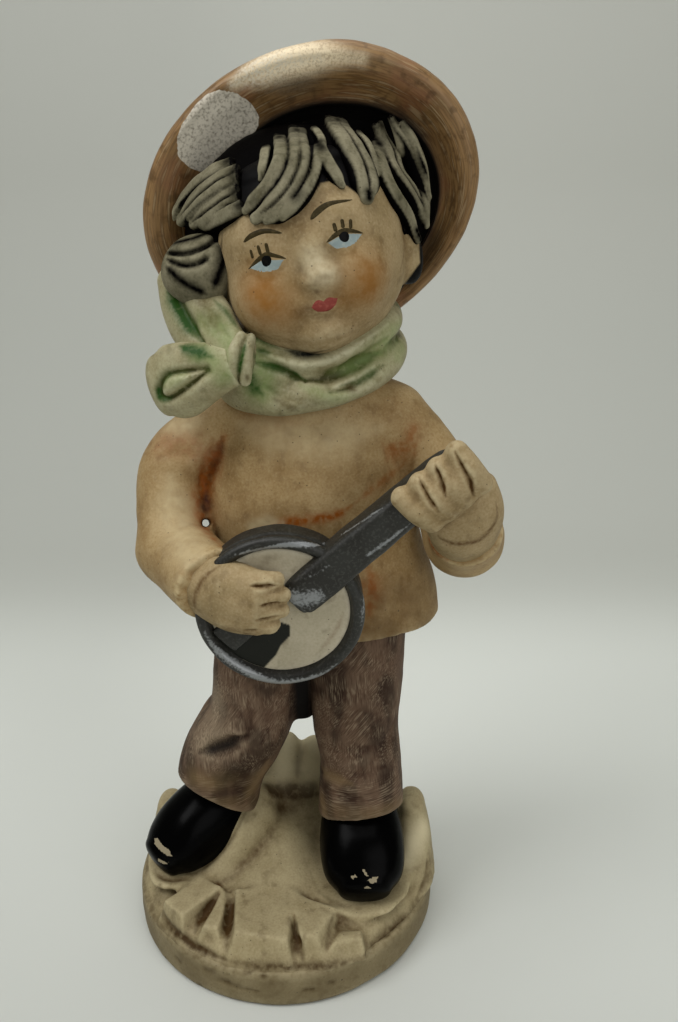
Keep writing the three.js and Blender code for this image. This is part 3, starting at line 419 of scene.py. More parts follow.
@dataclass(frozen=True)
class Loft:
    """A rounded solid whose sections follow a path.

    A section at the path's point p is p + side * w * cos(a) + over * d * sin(a), for a full
    turn of a, where w and d are the half width and half depth there. `square` above 2 fills
    out the section's corners as a superellipse does. Each end is closed by a dome.
    """

    rings: Sequence[Sequence[float]]
    across: Array = field(default_factory=lambda: ACROSS)
    level: bool = False
    slant: float = 0.0
    lean: float = 0.0
    domes: tuple[float, float] = (0.0, 0.0)
    square: float = 2.0
    floor: float = -1e9
    pitch: float = 0.5

    def grid(self) -> Array:
        """The sections as a grid of places, the poles included."""
        rough = spline([ring[:3] for ring in self.rings], 40)
        length = np.linalg.norm(np.diff(rough, axis=0), axis=1).sum()
        girth = math.pi * max(max(ring[3:5]) for ring in self.rings)
        count = max(int(length / self.pitch), 6)
        sides = max(int(girth / self.pitch), 16)
        rows = spline([[*ring[:4], ring[4] if len(ring) > 4 else ring[3]] for ring in self.rings], count)
        middle = rows[:, :3]
        forward = np.tile(UP, (count, 1)) if self.level else unit(np.gradient(middle, axis=0))
        if self.level and middle[-1, 2] < middle[0, 2]:
            forward = -forward
        over = unit(np.cross(forward, self.across))
        side = unit(np.cross(over, forward))
        fade = (1 - np.linspace(0, 1, count)) ** 4
        shares, shifts, picks = self._ends(count, rows)
        angle = circle(sides)
        power = 2 / self.square
        cos = np.sign(np.cos(angle)) * np.abs(np.cos(angle)) ** power
        sin = np.sign(np.sin(angle)) * np.abs(np.sin(angle)) ** power
        base = middle[picks] + forward[picks] * shifts[:, None]
        wide = (rows[picks, 3] / 2 * shares)[:, None, None]
        deep = (rows[picks, 4] / 2 * shares)[:, None, None]
        places = (
            base[:, None]
            + side[picks][:, None] * wide * cos[None, :, None]
            + over[picks][:, None] * deep * sin[None, :, None]
        )
        tilt = self.slant * (middle[picks, 1][:, None] - places[..., 1])
        tilt += self.lean * (places[..., 0] - middle[picks, 0][:, None])
        places[..., 2] += fade[picks][:, None] * tilt
        places[..., 2] = np.maximum(places[..., 2], self.floor)
        return places

    def _ends(self, count: int, rows: Array) -> tuple[Array, Array, Array]:
        """Each ring's share of the full size, its shift along the path, and its row's number."""
        shares, shifts, picks = [np.ones(count)], [np.zeros(count)], [np.arange(count)]
        for end, dome in enumerate(self.domes):
            wide = max(rows[-end, 3], rows[-end, 4]) / 2
            steps = max(int((dome + wide) / self.pitch), 4)
            bend = np.linspace(0, math.pi / 2, steps + 1)[1:]
            share, shift = np.cos(bend), dome * np.sin(bend)
            if dome <= 0:
                share, shift = 1 - bend * 2 / math.pi, 0 * bend
            share[-1] = 0
            pick = np.full(steps, 0 if end == 0 else count - 1)
            place = 0 if end == 0 else len(shares)
            order = slice(None, None, -1) if end == 0 else slice(None)
            shares.insert(place, share[order])
            shifts.insert(place, (-shift if end == 0 else shift)[order])
            picks.insert(place, pick)
        return np.concatenate(shares), np.concatenate(shifts), np.concatenate(picks)

    def skin(self) -> Skin:
        """The solid's surface."""
        return sheet(self.grid())


def ball(
    middle: Sequence[float], size: Sequence[float], frame_turn: Array | None = None, pitch: float = 0.5
) -> Skin:
    """An oval ball: the unit sphere by latitude and longitude, scaled, turned and moved."""
    count = max(int(math.pi * max(size) / 2 / pitch), 10)
    up = np.linspace(-math.pi / 2, math.pi / 2, count)[:, None]
    round_ = circle(2 * count)[None]
    grid = np.stack([np.cos(up) * np.cos(round_), np.cos(up) * np.sin(round_), np.sin(up) + 0 * round_], -1)
    grid = grid * np.asarray(size, float) / 2
    if frame_turn is not None:
        grid = grid @ frame_turn.T
    return sheet(grid + np.asarray(middle, float))


def block(corners: Array) -> Skin:
    """A stone with six sides from its eight corners, four below and four above, in turn."""
    quads = np.array([[0, 1, 2, 3], [4, 5, 6, 7], [0, 1, 5, 4], [1, 2, 6, 5], [2, 3, 7, 6], [3, 0, 4, 7]])
    middle = corners.mean(0)
    faces = corners[quads]
    flat = np.cross(faces[:, 1] - faces[:, 0], faces[:, 2] - faces[:, 0])
    inward = (flat * (faces.mean(1) - middle)).sum(1) < 0
    quads[inward] = quads[inward, ::-1]
    return Skin(corners, quads)


class Clay:
    """Soft bodies pressed into one, with fillets where they meet.

    A cast piece that several lofts flow into is no function of two parameters. So each loft is
    turned into distances on a lattice, the distances are joined by the smooth minimum
    min(a, b) - h2 k / 4 with h = max(k - |a - b|, 0) / k, and the zero surface comes back as
    evenly spaced four-sided faces.
    """

    BAND = 9

    def __init__(self, low: Sequence[float], high: Sequence[float], spacing: float = 0.42) -> None:
        """An empty box of clay.

        Args:
            low: The box's lowest corner.
            high: Its highest corner.
            spacing: The lattice's spacing.
        """
        self.spacing = spacing
        self.low = np.floor(np.asarray(low) / spacing).astype(int)
        size = np.ceil(np.asarray(high) / spacing).astype(int) - self.low + 1
        self.far = self.BAND * spacing
        self.field = np.full(tuple(size), self.far, np.float32)
        self.lattice = openvdb.createLinearTransform(voxelSize=spacing)

    def _distances(self, body: Skin) -> Array:
        """Signed distances from a closed surface on the lattice, below 0 inside."""
        grid = openvdb.FloatGrid.createLevelSetFromPolygons(
            body.points.astype(np.float32),
            triangles=body.tris.astype(np.uint32),
            quads=body.quads.astype(np.uint32),
            transform=self.lattice,
            halfWidth=float(self.BAND),
        )
        values = np.empty(self.field.shape, np.float32)
        grid.copyToArray(values, ijk=tuple(int(i) for i in self.low))
        return values

    def add(self, body: Skin | Loft, fillet: float = 0.0) -> "Clay":
        """The clay with a body pressed onto it, joined by a fillet of that size."""
        other = self._distances(body.skin() if isinstance(body, Loft) else body)
        self.field = self._blend(self.field, other, fillet)
        return self

    def cut(self, body: Skin | Loft, fillet: float = 0.0) -> "Clay":
        """The clay with a body cut out of it, with its edge rounded by that size."""
        other = self._distances(body.skin() if isinstance(body, Loft) else body)
        self.field = -self._blend(-self.field, other, fillet)
        return self

    @staticmethod
    def _blend(a: Array, b: Array, fillet: float) -> Array:
        """The smooth minimum of two fields of distances."""
        if fillet <= 0:
            return np.minimum(a, b)
        share = np.maximum(fillet - np.abs(a - b), 0) / fillet
        return np.minimum(a, b) - share * share * fillet / 4

    def skin(self, smooth: int = 1) -> Skin:
        """The clay's surface.

        Args:
            smooth: Rounds of smoothing.

        Returns:
            The surface, without loose crumbs.
        """
        self.field[[0, -1]] = self.far
        self.field[:, [0, -1]] = self.far
        self.field[:, :, [0, -1]] = self.far
        grid = openvdb.FloatGrid(background=self.far)
        grid.transform = self.lattice
        grid.copyFromArray(np.clip(self.field, -self.far, self.far), ijk=tuple(int(i) for i in self.low))
        points, _, quads = grid.convertToPolygons(isovalue=0.0, adaptivity=0.0)
        skin = largest(Skin(np.asarray(points, float), np.asarray(quads, int)))
        return outward(skin).relax(smooth)


def largest(skin: Skin) -> Skin:
    """The biggest connected part of a surface.

    Labels spread along the edges, each point taking the lowest number around it, until none
    changes.
    """
    a, b = skin.edges().T
    label = np.arange(len(skin.points))
    while True:
        lowest = label.copy()
        np.minimum.at(lowest, a, label[b])
        np.minimum.at(lowest, b, label[a])
        lowest = lowest[lowest]
        if np.array_equal(lowest, label):
            break
        label = lowest
    common = np.bincount(label).argmax()
    kept = label == common
    number = np.cumsum(kept) - 1
    return Skin(skin.points[kept], number[skin.quads[kept[skin.quads[:, 0]]]])


@dataclass(frozen=True)
class Sight:
    """The camera of the photograph, which places grooves and painted marks by their pixels."""

    eye: Point = (11.8, -182.0, 166.5)
    pitch: float = 18.5
    focal: float = 850.0
    middle: Pixel = (339.0, 511.0)
    picture: tuple[int, int] = (678, 1022)

    def axes(self) -> tuple[Array, Array]:
        """The view's forward and upward directions."""
        sin, cos = math.sin(math.radians(self.pitch)), math.cos(math.radians(self.pitch))
        return np.array([0, cos, -sin]), np.array([0, sin, cos])

    def rays(self, pixels: Array) -> Array:
        """Unit directions from the eye through pixels."""
        forward, upward = self.axes()
        right = (pixels[:, :1] - self.middle[0]) / self.focal
        rise = (self.middle[1] - pixels[:, 1:2]) / self.focal
        return unit(forward + right * ACROSS + rise * upward)

    def pixels(self, points: Array) -> Array:
        """Where points are seen in the picture."""
        forward, upward = self.axes()
        gap = points - np.array(self.eye)
        depth = gap @ forward
        right, rise = gap[:, 0] / depth, gap @ upward / depth
        return np.stack([self.middle[0] + self.focal * right, self.middle[1] - self.focal * rise], -1)

    def on(self, skin: Skin, route: Sequence[Pixel], count: int = 40, reach: float = 0.7) -> Array:
        """A route of pixels laid onto a surface.

        Each ray meets the tangent plane of the nearest point that faces the eye within reach
        of it, or of the point that comes closest to the ray.

        Args:
            skin: The surface.
            route: Pixels along the route.
            count: How many places come back.
            reach: How far from a ray a point may be.

        Returns:
            Places on the surface.
        """
        spots = spline(route, count) if len(route) > 1 else np.asarray(route, float)
        eye = np.array(self.eye)
        rays = self.rays(spots)
        gap = skin.points - eye
        middle = unit(rays.mean(0))
        spread = 0.02 + np.linalg.norm(rays - middle, axis=1).max()
        seen = (skin.facing() * gap).sum(1) < 0
        seen &= np.linalg.norm(unit(gap) - middle, axis=1) < spread
        gap, normals = gap[seen], skin.facing()[seen]
        places = []
        for ray in rays:
            along = gap @ ray
            aside = np.sqrt(np.maximum((gap**2).sum(1) - along**2, 0))
            best = np.where(aside < reach, along, along + 1000 * aside).argmin()
            slope = normals[best] @ ray
            reach_along = (gap[best] @ normals[best]) / slope if slope < -0.15 else along[best]
            places.append(eye + ray * np.clip(reach_along, along[best] - 1.5, along[best] + 1.5))
        return np.array(places)

    def carve(self, skin: Skin, cuts: Sequence[Cut], fade: float = 0.35) -> None:
        """Grooves along routes of pixels, each with its half width and depth, in turn."""
        for route, width, depth in cuts:
            skin.carve(self.on(skin, route), width, depth, fade)

    def mark(self, skin: Skin, marks: Sequence[Mark], fade: float = 0.3) -> None:
        """Painted values along routes of pixels, each with its half width and strength, in turn."""
        for name, route, width, strength in marks:
            skin.mark(name, self.on(skin, route), width, strength, fade)

    def patch(self, skin: Skin, outline: Sequence[Pixel], soft: float = 1.5) -> Array:
        """How far points lie inside an outline of pixels, from 0 outside to 1 inside.

        A point is inside where a line to its right crosses the outline an odd number of times,
        and the edge is softened over a distance in pixels.

        Args:
            skin: The surface.
            outline: The outline's corners.
            soft: The edge's softness.

        Returns:
            One value for each point that faces the eye, and 0 for the others.
        """
        spots = self.pixels(skin.points)
        corners = np.asarray(outline, float)
        following = np.roll(corners, -1, 0)
        inside = np.zeros(len(spots), bool)
        closest = np.full(len(spots), 1e9)
        for a, b in zip(corners, following):
            side = b - a
            crossing = (spots[:, 1] < a[1]) != (spots[:, 1] < b[1])
            x = a[0] + (spots[:, 1] - a[1]) * side[0] / (side[1] if side[1] else 1e-9)
            inside ^= crossing & (spots[:, 0] < x)
            share = np.clip(((spots - a) @ side) / (side @ side), 0, 1)
            closest = np.minimum(closest, np.linalg.norm(spots - a - share[:, None] * side, axis=1))
        signed = np.where(inside, closest, -closest)
        facing = (skin.facing() * (skin.points - np.array(self.eye))).sum(1) < 0
        return ease(0.5 + signed / (2 * soft)) * facing

    def at(self, pixel: Pixel, depth: float) -> Array:
        """The place seen at a pixel in the upright plane at that depth."""
        ray = self.rays(np.array([pixel]))[0]
        eye = np.array(self.eye)
        return eye + ray * (depth - eye[1]) / ray[1]

    def make(self, shift: Array) -> bpy.types.Object:
        """The scene's camera.

        Args:
            shift: The layout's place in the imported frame, in millimetres.

        Returns:
            The camera, which the scene then looks through.
        """
        data = bpy.data.cameras.new("photograph_camera")
        data.sensor_fit = "VERTICAL"
        data.sensor_height = 36.0
        data.lens = self.focal * data.sensor_height / self.picture[1]
        camera = bpy.data.objects.new("photograph_camera", data)
        camera.location = (np.array(self.eye) + shift) * MM
        camera.rotation_euler = Euler((math.radians(90 - self.pitch), 0, 0))
        bpy.context.scene.collection.objects.link(camera)
        bpy.context.scene.camera = camera
        return camera


SIGHT = Sight()


def linear(colour: str) -> tuple[float, float, float, float]:
    """An sRGB hex colour as the linear values that the renderer works in."""
    values = [int(colour[i : i + 2], 16) / 255 for i in (1, 3, 5)]
    straight = [v / 12.92 if v <= 0.04045 else ((v + 0.055) / 1.055) ** 2.4 for v in values]
    return (*straight, 1.0)


class Finish:
    """A material under construction, node by node, on the piece's own Object coordinates."""

    def __init__(self, name: str) -> None:
        """An empty material of that name."""
        self.material = bpy.data.materials.new(name)
        self.material.use_nodes = True
        self.tree = self.material.node_tree
        self.tree.nodes.clear()
        self.places = self.add("ShaderNodeTexCoord").outputs["Object"]

    def add(self, kind: str, inputs: Inputs | None = None, **settings: object) -> bpy.types.Node:
        """One node, with its settings and its inputs linked or set.

        Args:
            kind: The node's type.
            inputs: A socket or a constant for each named or numbered input.
            settings: The node's own properties.

        Returns:
            The node.
        """
        node = self.tree.nodes.new(kind)
        for key, value in settings.items():
            setattr(node, key, value)
        for key, value in (inputs or {}).items():
            if isinstance(value, bpy.types.NodeSocket):
                self.tree.links.new(value, node.inputs[key])
            else:
                node.inputs[key].default_value = value
        return node

    def painted(self, name: str) -> Socket:
        """The surface's painted value of that name."""
        return self.add("ShaderNodeAttribute", attribute_name=name).outputs["Fac"]

    def noise(
        self, size: float, detail: float = 2.0, stretch: Point | None = None, lean: float = 0.0
    ) -> Socket:
        """Soft noise from 0 to 1.

        Args:
            size: The size of its lumps in millimetres.
            detail: How many finer layers it has.
            stretch: How many times longer the lumps are along each axis.
            lean: The angle in degrees by which the stretched axes turn about Y.

        Returns:
            The noise's value.
        """
        places = self.places
        if stretch is not None:
            turned = self.add("ShaderNodeMapping", {0: places, "Rotation": (0.0, math.radians(lean), 0.0)})
            scale = tuple(1 / s for s in stretch)
            places = self.add("ShaderNodeMapping", {0: turned.outputs[0], "Scale": scale}).outputs[0]
        node = self.add("ShaderNodeTexNoise", {"Vector": places, "Scale": 1 / (size * MM), "Detail": detail})
        return node.outputs["Fac"]

    def specks(self, spacing: float, radius: float, share: float) -> Socket:
        """Scattered round specks, 1 inside a speck.

        A cell pattern gives each speck its middle, and each cell's random colour says whether
        it holds one.

        Args:
            spacing: The cells' size in millimetres.
            radius: A speck's radius in millimetres.
            share: The share of cells that hold a speck.

        Returns:
            The specks' value.
        """
        scale = 1 / (spacing * MM)
        cells = self.add("ShaderNodeTexVoronoi", {"Vector": self.places, "Scale": scale})
        dot = self.band(cells.outputs["Distance"], radius / spacing, radius / spacing * 0.45)
        lot = self.add("ShaderNodeSeparateColor", {0: cells.outputs["Color"]}).outputs[0]
        held = self.math("LESS_THAN", lot, share)
        return self.times(dot, held)

    def math(self, operation: str, a: Socket | float, b: Socket | float, clamp: bool = False) -> Socket:
        """Arithmetic on two values."""
        return self.add("ShaderNodeMath", {0: a, 1: b}, operation=operation, use_clamp=clamp).outputs[0]

    def times(self, a: Socket, b: Socket | float) -> Socket:
        """Two values multiplied."""
        return self.math("MULTIPLY", a, b)

    def plus(self, a: Socket, b: Socket | float) -> Socket:
        """Two values added."""
        return self.math("ADD", a, b)

    def scaled(self, value: Socket, amount: float) -> Socket:
        """A value multiplied and held between 0 and 1."""
        return self.math("MULTIPLY", value, amount, clamp=True)

    def band(self, value: Socket, start: float, stop: float) -> Socket:
        """A value eased from 0 at the start to 1 at the stop."""
        inputs: Inputs = {0: value, 1: start, 2: stop, 3: 0.0, 4: 1.0}
        return self.add("ShaderNodeMapRange", inputs, interpolation_type="SMOOTHSTEP").outputs[0]

    def mix(self, share: Socket, under: Socket | str, over: Socket | str) -> Socket:
        """One colour laid over another by a share."""
        colours = [linear(c) if isinstance(c, str) else c for c in (under, over)]
        inputs: Inputs = {0: share, 6: colours[0], 7: colours[1]}
        return self.add("ShaderNodeMix", inputs, data_type="RGBA").outputs[2]

    def lay(self, under: Socket | str, over: str, share: Socket, strength: float = 1.0) -> Socket:
        """A colour laid over another by a share times a strength, at most in full."""
        return self.mix(self.scaled(share, strength), under, over)

    def bump(self, height: Socket, depth: float) -> Socket:
        """Fine relief, with its depth in millimetres."""
        inputs: Inputs = {"Height": height, "Distance": depth * MM, "Strength": 1.0}
        return self.add("ShaderNodeBump", inputs).outputs[0]

    def done(
        self,
        colour: Socket,
        rough: Socket | float,
        relief: Socket | None = None,
        gloss: float = 0.5,
        ior: float = 1.5,
        metal: Socket | float = 0.0,
    ) -> bpy.types.Material:
        """The material, with one surface shader.

        Args:
            colour: Its colour.
            rough: Its roughness.
            relief: Its bumped normals.
            gloss: How strongly it shines, where 0.5 is plain varnish.
            ior: Its index of refraction.
            metal: How far it is metal.

        Returns:
            The material.
        """
        inputs: Inputs = {"Base Color": colour, "Roughness": rough, "IOR": ior, "Metallic": metal}
        inputs["Specular IOR Level"] = gloss
        if relief is not None:
            inputs["Normal"] = relief
        shader = self.add("ShaderNodeBsdfPrincipled", inputs)
        output = self.add("ShaderNodeOutputMaterial")
        self.tree.links.new(shader.outputs[0], output.inputs[0])
        return self.material


@dataclass(frozen=True)
class Layer:
    """A colour laid where a painted value says so, broken up by noise of a size in millimetres."""

    painted: str
    colour: str
    strength: float = 1.0
    size: float = 1.2
    broken: float = 0.5


@dataclass(frozen=True)
class WashedBisque:
    """Matt fired clay under thin paint, with a brown wash wiped off its high places.

    The wash stays in the hollows, where it also serves as painted shade, the ridges are rubbed
    paler, and specks and pits of the clay show through.
    """

    name: str
    body: str
    shade: str
    wash: str
    light: str
    layers: tuple[Layer, ...] = ()
    roughness: float = 0.62
    wash_strength: float = 0.8
    mottle: float = 0.5
    speck_share: float = 0.3
    speck_colour: str = "#3a3024"
    grain: float = 0.05
    rubbed: float = 0.6
    matt: float = 0.18

    def material(self) -> bpy.types.Material:
        """The finished material."""
        look = Finish(self.name)
        cloud = look.noise(7.0, 4.0)
        grit = look.noise(0.5, 3.0)
        fleck = look.noise(1.4, 3.0)
        colour = look.lay(self.body, self.shade, look.band(cloud, 0.35, 0.7), self.mottle)
        smudge = look.times(look.band(look.noise(2.6, 5.0), 0.5, 0.7), look.band(cloud, 0.35, 0.6))
        colour = look.lay(colour, self.wash, smudge, 0.4)
        colour = look.lay(colour, self.shade, look.band(grit, 0.48, 0.68), 0.4)
        colour = look.lay(colour, self.light, look.band(grit, 0.48, 0.3), 0.14)
        rub = look.times(look.painted("ridge"), look.band(fleck, 0.25, 0.6))
        colour = look.lay(colour, self.light, rub, self.rubbed)
        # The hollows darken with the brown wash, which is also painted shade there.
        wash_and_shade = look.times(look.painted("hollow"), look.plus(look.band(fleck, 0.2, 0.7), 0.45))
        colour = look.lay(colour, self.wash, wash_and_shade, self.wash_strength)
        for layer in self.layers:
            patches = look.times(look.band(look.noise(layer.size, 3.0), 0.3, 0.7), layer.broken)
            share = look.times(look.painted(layer.painted), look.plus(patches, 1 - layer.broken / 2))
            colour = look.lay(colour, layer.colour, share, layer.strength)
        specks = look.specks(1.5, 0.17, self.speck_share)
        pits = look.specks(4.2, 0.34, self.speck_share * 0.6)
        dots = look.math("MAXIMUM", specks, pits)
        colour = look.lay(colour, self.speck_colour, dots, 0.75)
        height = look.math("SUBTRACT", look.times(grit, 0.6), dots)
        rough = look.plus(look.times(grit, 0.16), self.roughness - 0.08)
        return look.done(colour, rough, look.bump(height, self.grain), self.matt)


@dataclass(frozen=True)
class DryBrushed:
    """Thin dark paint dragged over with a dry pale brush, whose hairs leave long streaks."""

    name: str
    body: str
    dark: str
    light: str
    tan: str
    ink: str = "#0b0706"
    hair: float = 0.27
    drag: float = 14.0
    roughness: float = 0.7

    def streaks(self, look: Finish, stretch: Point, lean: float) -> Socket:
        """The brush's hairs, dragged out along stretched and turned axes."""
        return look.noise(self.hair, 4.0, stretch, lean)

    def material(self) -> bpy.types.Material:
        """The finished material."""
        look = Finish(self.name)
        upright = self.streaks(look, (1.0, 1.0, self.drag), 4.0)
        leaning = self.streaks(look, (1.0, 1.0, self.drag), -36.0)
        level = self.streaks(look, (self.drag, self.drag, 1.0), 8.0)
        where = look.band(look.noise(11.0, 1.0), 0.42, 0.58)
        hairs = look.add("ShaderNodeMix", {0: where, 2: upright, 3: leaning}).outputs[0]
        hairs = look.add("ShaderNodeMix", {0: look.painted("level_strokes"), 2: hairs, 3: level}).outputs[0]
        cloud = look.noise(5.0, 4.0, (1.0, 1.0, 2.4), 10.0)
        colour = look.lay(self.body, self.dark, look.band(cloud, 0.4, 0.62), 0.85)
        # Painted shade: darker in the hollows of the cloth.
        colour = look.lay(colour, self.dark, look.painted("hollow"), 0.75)
        pale = look.times(look.band(hairs, 0.47, 0.66), look.band(look.noise(4.0, 2.0), 0.32, 0.62))
        pale = look.plus(look.plus(pale, look.painted("ridge")), look.painted("worn"))
        colour = look.lay(colour, self.light, pale, 0.46)
        colour = look.lay(colour, self.dark, look.band(hairs, 0.5, 0.3), 0.45)
        colour = look.lay(colour, self.tan, look.painted("tan"), 0.6)
        # The black is painted shade: in the cleft between the legs and in the knee crease.
        colour = look.lay(colour, self.ink, look.painted("ink"))
        return look.done(colour, self.roughness, look.bump(hairs, 0.02), 0.15)


@dataclass(frozen=True)
class GlossBlack:
    """Thick black gloss glaze, chipped to the pale clay on the toes."""

    name: str

    def material(self) -> bpy.types.Material:
        """The finished material."""
        look = Finish(self.name)
        ragged = look.plus(look.painted("chip"), look.scaled(look.noise(0.7, 3.0), 0.7))
        chip = look.band(ragged, 1.12, 1.22)
        colour = look.mix(chip, "#040404", "#958a72")
        orange_peel = look.bump(look.noise(1.6, 1.0), 0.02)
        return look.done(colour, look.plus(look.scaled(chip, 0.4), 0.26), orange_peel, 0.05, 1.4)


@dataclass(frozen=True)
class BrushedHat:
    """Satin brown paint brushed round the brim, wiped back to a cream rim, with a painted highlight along the
    rim's top and painted shade on the inner brim.
    """

    name: str

    def material(self) -> bpy.types.Material:
        """The finished material."""
        look = Finish(self.name)
        rings = look.add("ShaderNodeAttribute", attribute_name="grain").outputs["Vector"]
        hairs = look.add("ShaderNodeTexNoise", {"Vector": rings, "Scale": 2.4, "Detail": 4.0}).outputs["Fac"]
        patchy = look.noise(9.0, 3.0)
        colour = look.mix(look.band(hairs, 0.38, 0.62), "#8c6d46", "#5c4124")
        colour = look.lay(colour, "#7d4f38", look.band(patchy, 0.5, 0.68), 0.5)
        colour = look.lay(colour, "#bda47c", look.band(hairs, 0.54, 0.68), 0.5)
        # Painted shade on the inner brim by the head; on the crown the same value is random darker tone.
        colour = look.lay(colour, "#4a3319", look.painted("deep"), 0.55)
        colour = look.lay(colour, "#a98a66", look.painted("rubbed"), 0.4)
        colour = look.lay(colour, "#43301c", look.band(look.noise(2.4, 5.0), 0.52, 0.7), 0.5)
        # Painted highlight: the satin gleam along the rim's top, broken into grains.
        grains = look.band(look.noise(0.45, 4.0), 0.66, 0.42)
        satin = look.times(look.painted("satin"), look.plus(look.scaled(grains, 0.4), 0.6))
        colour = look.lay(colour, "#f6e4c2", satin)
        # Cream flakes of worn paint along the rim's top, which also lighten the painted highlight there.
        worn = look.times(look.painted("cream"), look.band(look.noise(0.5, 4.0), 0.4, 0.6))
        colour = look.lay(colour, "#e6dcc6", worn, 0.95)
        # Black paint in the inner rim and the crown's hollow, and painted shade in black on the brim's inner
        # right side.
        colour = look.lay(colour, "#070503", look.painted("ink"), 1.12)
        ragged = look.plus(look.painted("bare"), look.scaled(look.noise(1.2, 2.0), 0.16))
        bare = look.band(ragged, 0.5, 0.62)
        grit = look.noise(0.55, 4.0)
        plain = look.lay("#cfc7b7", "#938b7c", look.band(grit, 0.44, 0.62), 0.6)
        plain = look.lay(plain, "#4a453d", look.band(grit, 0.6, 0.68), 0.4)
        colour = look.mix(bare, colour, plain)
        matt = look.scaled(look.plus(bare, look.painted("ink")), 0.5)
        rough = look.plus(matt, look.plus(look.times(hairs, 0.16), 0.26))
        relief = look.bump(look.plus(hairs, look.scaled(grit, 0.4)), 0.05)
        return look.done(colour, rough, relief, 0.16)


@dataclass(frozen=True)
class RubbedPewter:
    """Gunmetal paint with silver rubbed onto its edges and grain."""

    name: str

    def material(self) -> bpy.types.Material:
        """The finished material."""
        look = Finish(self.name)
        grit = look.noise(0.55, 4.0)
        cloud = look.noise(5.0, 3.0)
        colour = look.mix(look.band(cloud, 0.35, 0.65), "#252520", "#1c1a14")
        colour = look.lay(colour, "#474742", look.band(grit, 0.5, 0.64), 0.4)
        edge = look.plus(look.scaled(look.painted("ridge"), 0.12), look.painted("silver"))
        rub = look.band(look.plus(edge, look.scaled(grit, 1.0)), 0.85, 1.3)
        colour = look.lay(colour, "#9a9d9e", rub, 0.8)
        # Painted shade: darker in the hollows.
        colour = look.lay(colour, "#16140f", look.painted("hollow"), 0.6)
        rough = look.math("SUBTRACT", 0.5, look.scaled(rub, 0.15))
        return look.done(colour, rough, look.bump(grit, 0.06), metal=look.scaled(rub, 0.35))


@dataclass(frozen=True)
class BrushStroke:
    """Opaque china paint laid in one stroke, a little glossy, thicker and thinner by turns."""

    name: str
    colour: str
    thin: str

    def material(self) -> bpy.types.Material:
        """The finished material."""
        look = Finish(self.name)
        body = look.mix(look.band(look.noise(0.7, 3.0), 0.45, 0.75), self.colour, self.thin)
        return look.done(body, 0.5, look.bump(look.noise(0.4), 0.02), 0.1)


# Finishes, by what was used on the clay
# The pale layer is painted light on the crag and beside the left shoe, and the last layer is painted shade
# down the plinth's side.
GROUND_WASH = WashedBisque(
    "umber_washed_bisque", "#a69875", "#8a7b58", "#4a3315", "#cbbe98",
    (
        Layer("umber", "#443218", 0.9, 1.6, 0.7),
        Layer("pale", "#e8dcb6", 1.0, 4.0, 0.0),
        Layer("dusk", "#54452a", 0.6, 9.0, 0.3),
    ),
    wash_strength=0.9, rubbed=0.42,
)
# The cream layer lays painted highlights, and the last layer lays painted shade on the lower skirt.
TUNIC_PAINT = WashedBisque(
    "cream_tunic_paint", "#a88e63", "#86693f", "#5f3d18", "#cdbb92",
    (
        Layer("rust", "#8c4c12", 1.0, 1.6, 1.0),
        Layer("deep_rust", "#45200a", 0.95, 1.0, 0.5),
        Layer("pink", "#a5714f", 0.6, 1.2, 0.8),
        Layer("cream", "#cdbc95", 0.8, 2.0, 0.5),
        Layer("dusk", "#5a4223", 0.55, 5.0, 0.6),
    ),
    wash_strength=0.8, mottle=0.75,
)
# On the face the brown layer is painted shade, the pale one a painted highlight on the nose, and the black
# one black hair paint and painted shade; on the hands the brown is wash in the grooves.
FLESH_PAINT = WashedBisque(
    "flesh_tinted_bisque", "#a28d69", "#84704b", "#4c3418", "#cfc09b",
    (
        Layer("blush", "#8b591b", 0.9, 2.6, 0.3),
        Layer("umber", "#523518", 0.8, 1.0, 0.6),
        Layer("ink", "#050404", 1.1, 0.8, 0.1),
        Layer("pale", "#d8ccac", 0.7, 1.4, 0.5),
    ),
    roughness=0.56, speck_share=0.34, mottle=0.6, matt=0.08,
)
# The black layer is the painted shadow of the chin on the upper fold.
SCARF_GLAZE = WashedBisque(
    "mint_glazed_cloth", "#a09a78", "#80734e", "#423f1a", "#c9c4a4",
    (
        Layer("mint", "#7c9455", 0.6, 2.0, 0.5),
        Layer("green", "#24480c", 1.1, 1.0, 0.3),
        Layer("umber", "#4a3a12", 0.85, 1.0, 0.4),
        Layer("ink", "#0d0f08", 1.0, 1.0, 0.2),
    ),
    roughness=0.5, wash_strength=0.9, speck_share=0.2,
)
HAIR_PAINT = WashedBisque(
    "bone_grey_hair_paint", "#7b7560", "#4a4632", "#080705", "#979178",
    (Layer("ink", "#030202", 1.15, 1.0, 0.1),),
    roughness=0.66, wash_strength=1.0, mottle=0.8, speck_share=0.25, matt=0.02,
)
TROUSER_PAINT = DryBrushed("dry_brushed_mauve", "#614b3b", "#29180f", "#a08e76", "#8c7550")
SHOE_GLAZE = GlossBlack("black_gloss_glaze")
HAT_PAINT = BrushedHat("satin_brown_brushed_hat")
PEWTER = RubbedPewter("silver_rubbed_gunmetal")
DRUM_SKIN = WashedBisque(
    "chalky_drumskin_paint", "#bbb199", "#a59b82", "#5b4c34", "#d2c9b2",
    (Layer("ink", "#1f201b", 1.0, 1.0, 0.0), Layer("umber", "#6a4526", 0.9, 1.0, 0.2)),
    roughness=0.6, speck_share=0.15,
)
INK = BrushStroke("black_china_paint", "#070707", "#15120f")
OLIVE = BrushStroke("olive_brown_china_paint", "#382f19", "#4a3f26")
EYE_BLUE = BrushStroke("pale_blue_china_paint", "#8d9b9b", "#9ea8a3")
LIP_RED = BrushStroke("rose_china_paint", "#8e423b", "#a0564a")

Coat = WashedBisque | DryBrushed | GlossBlack | BrushedHat | RubbedPewter | BrushStroke


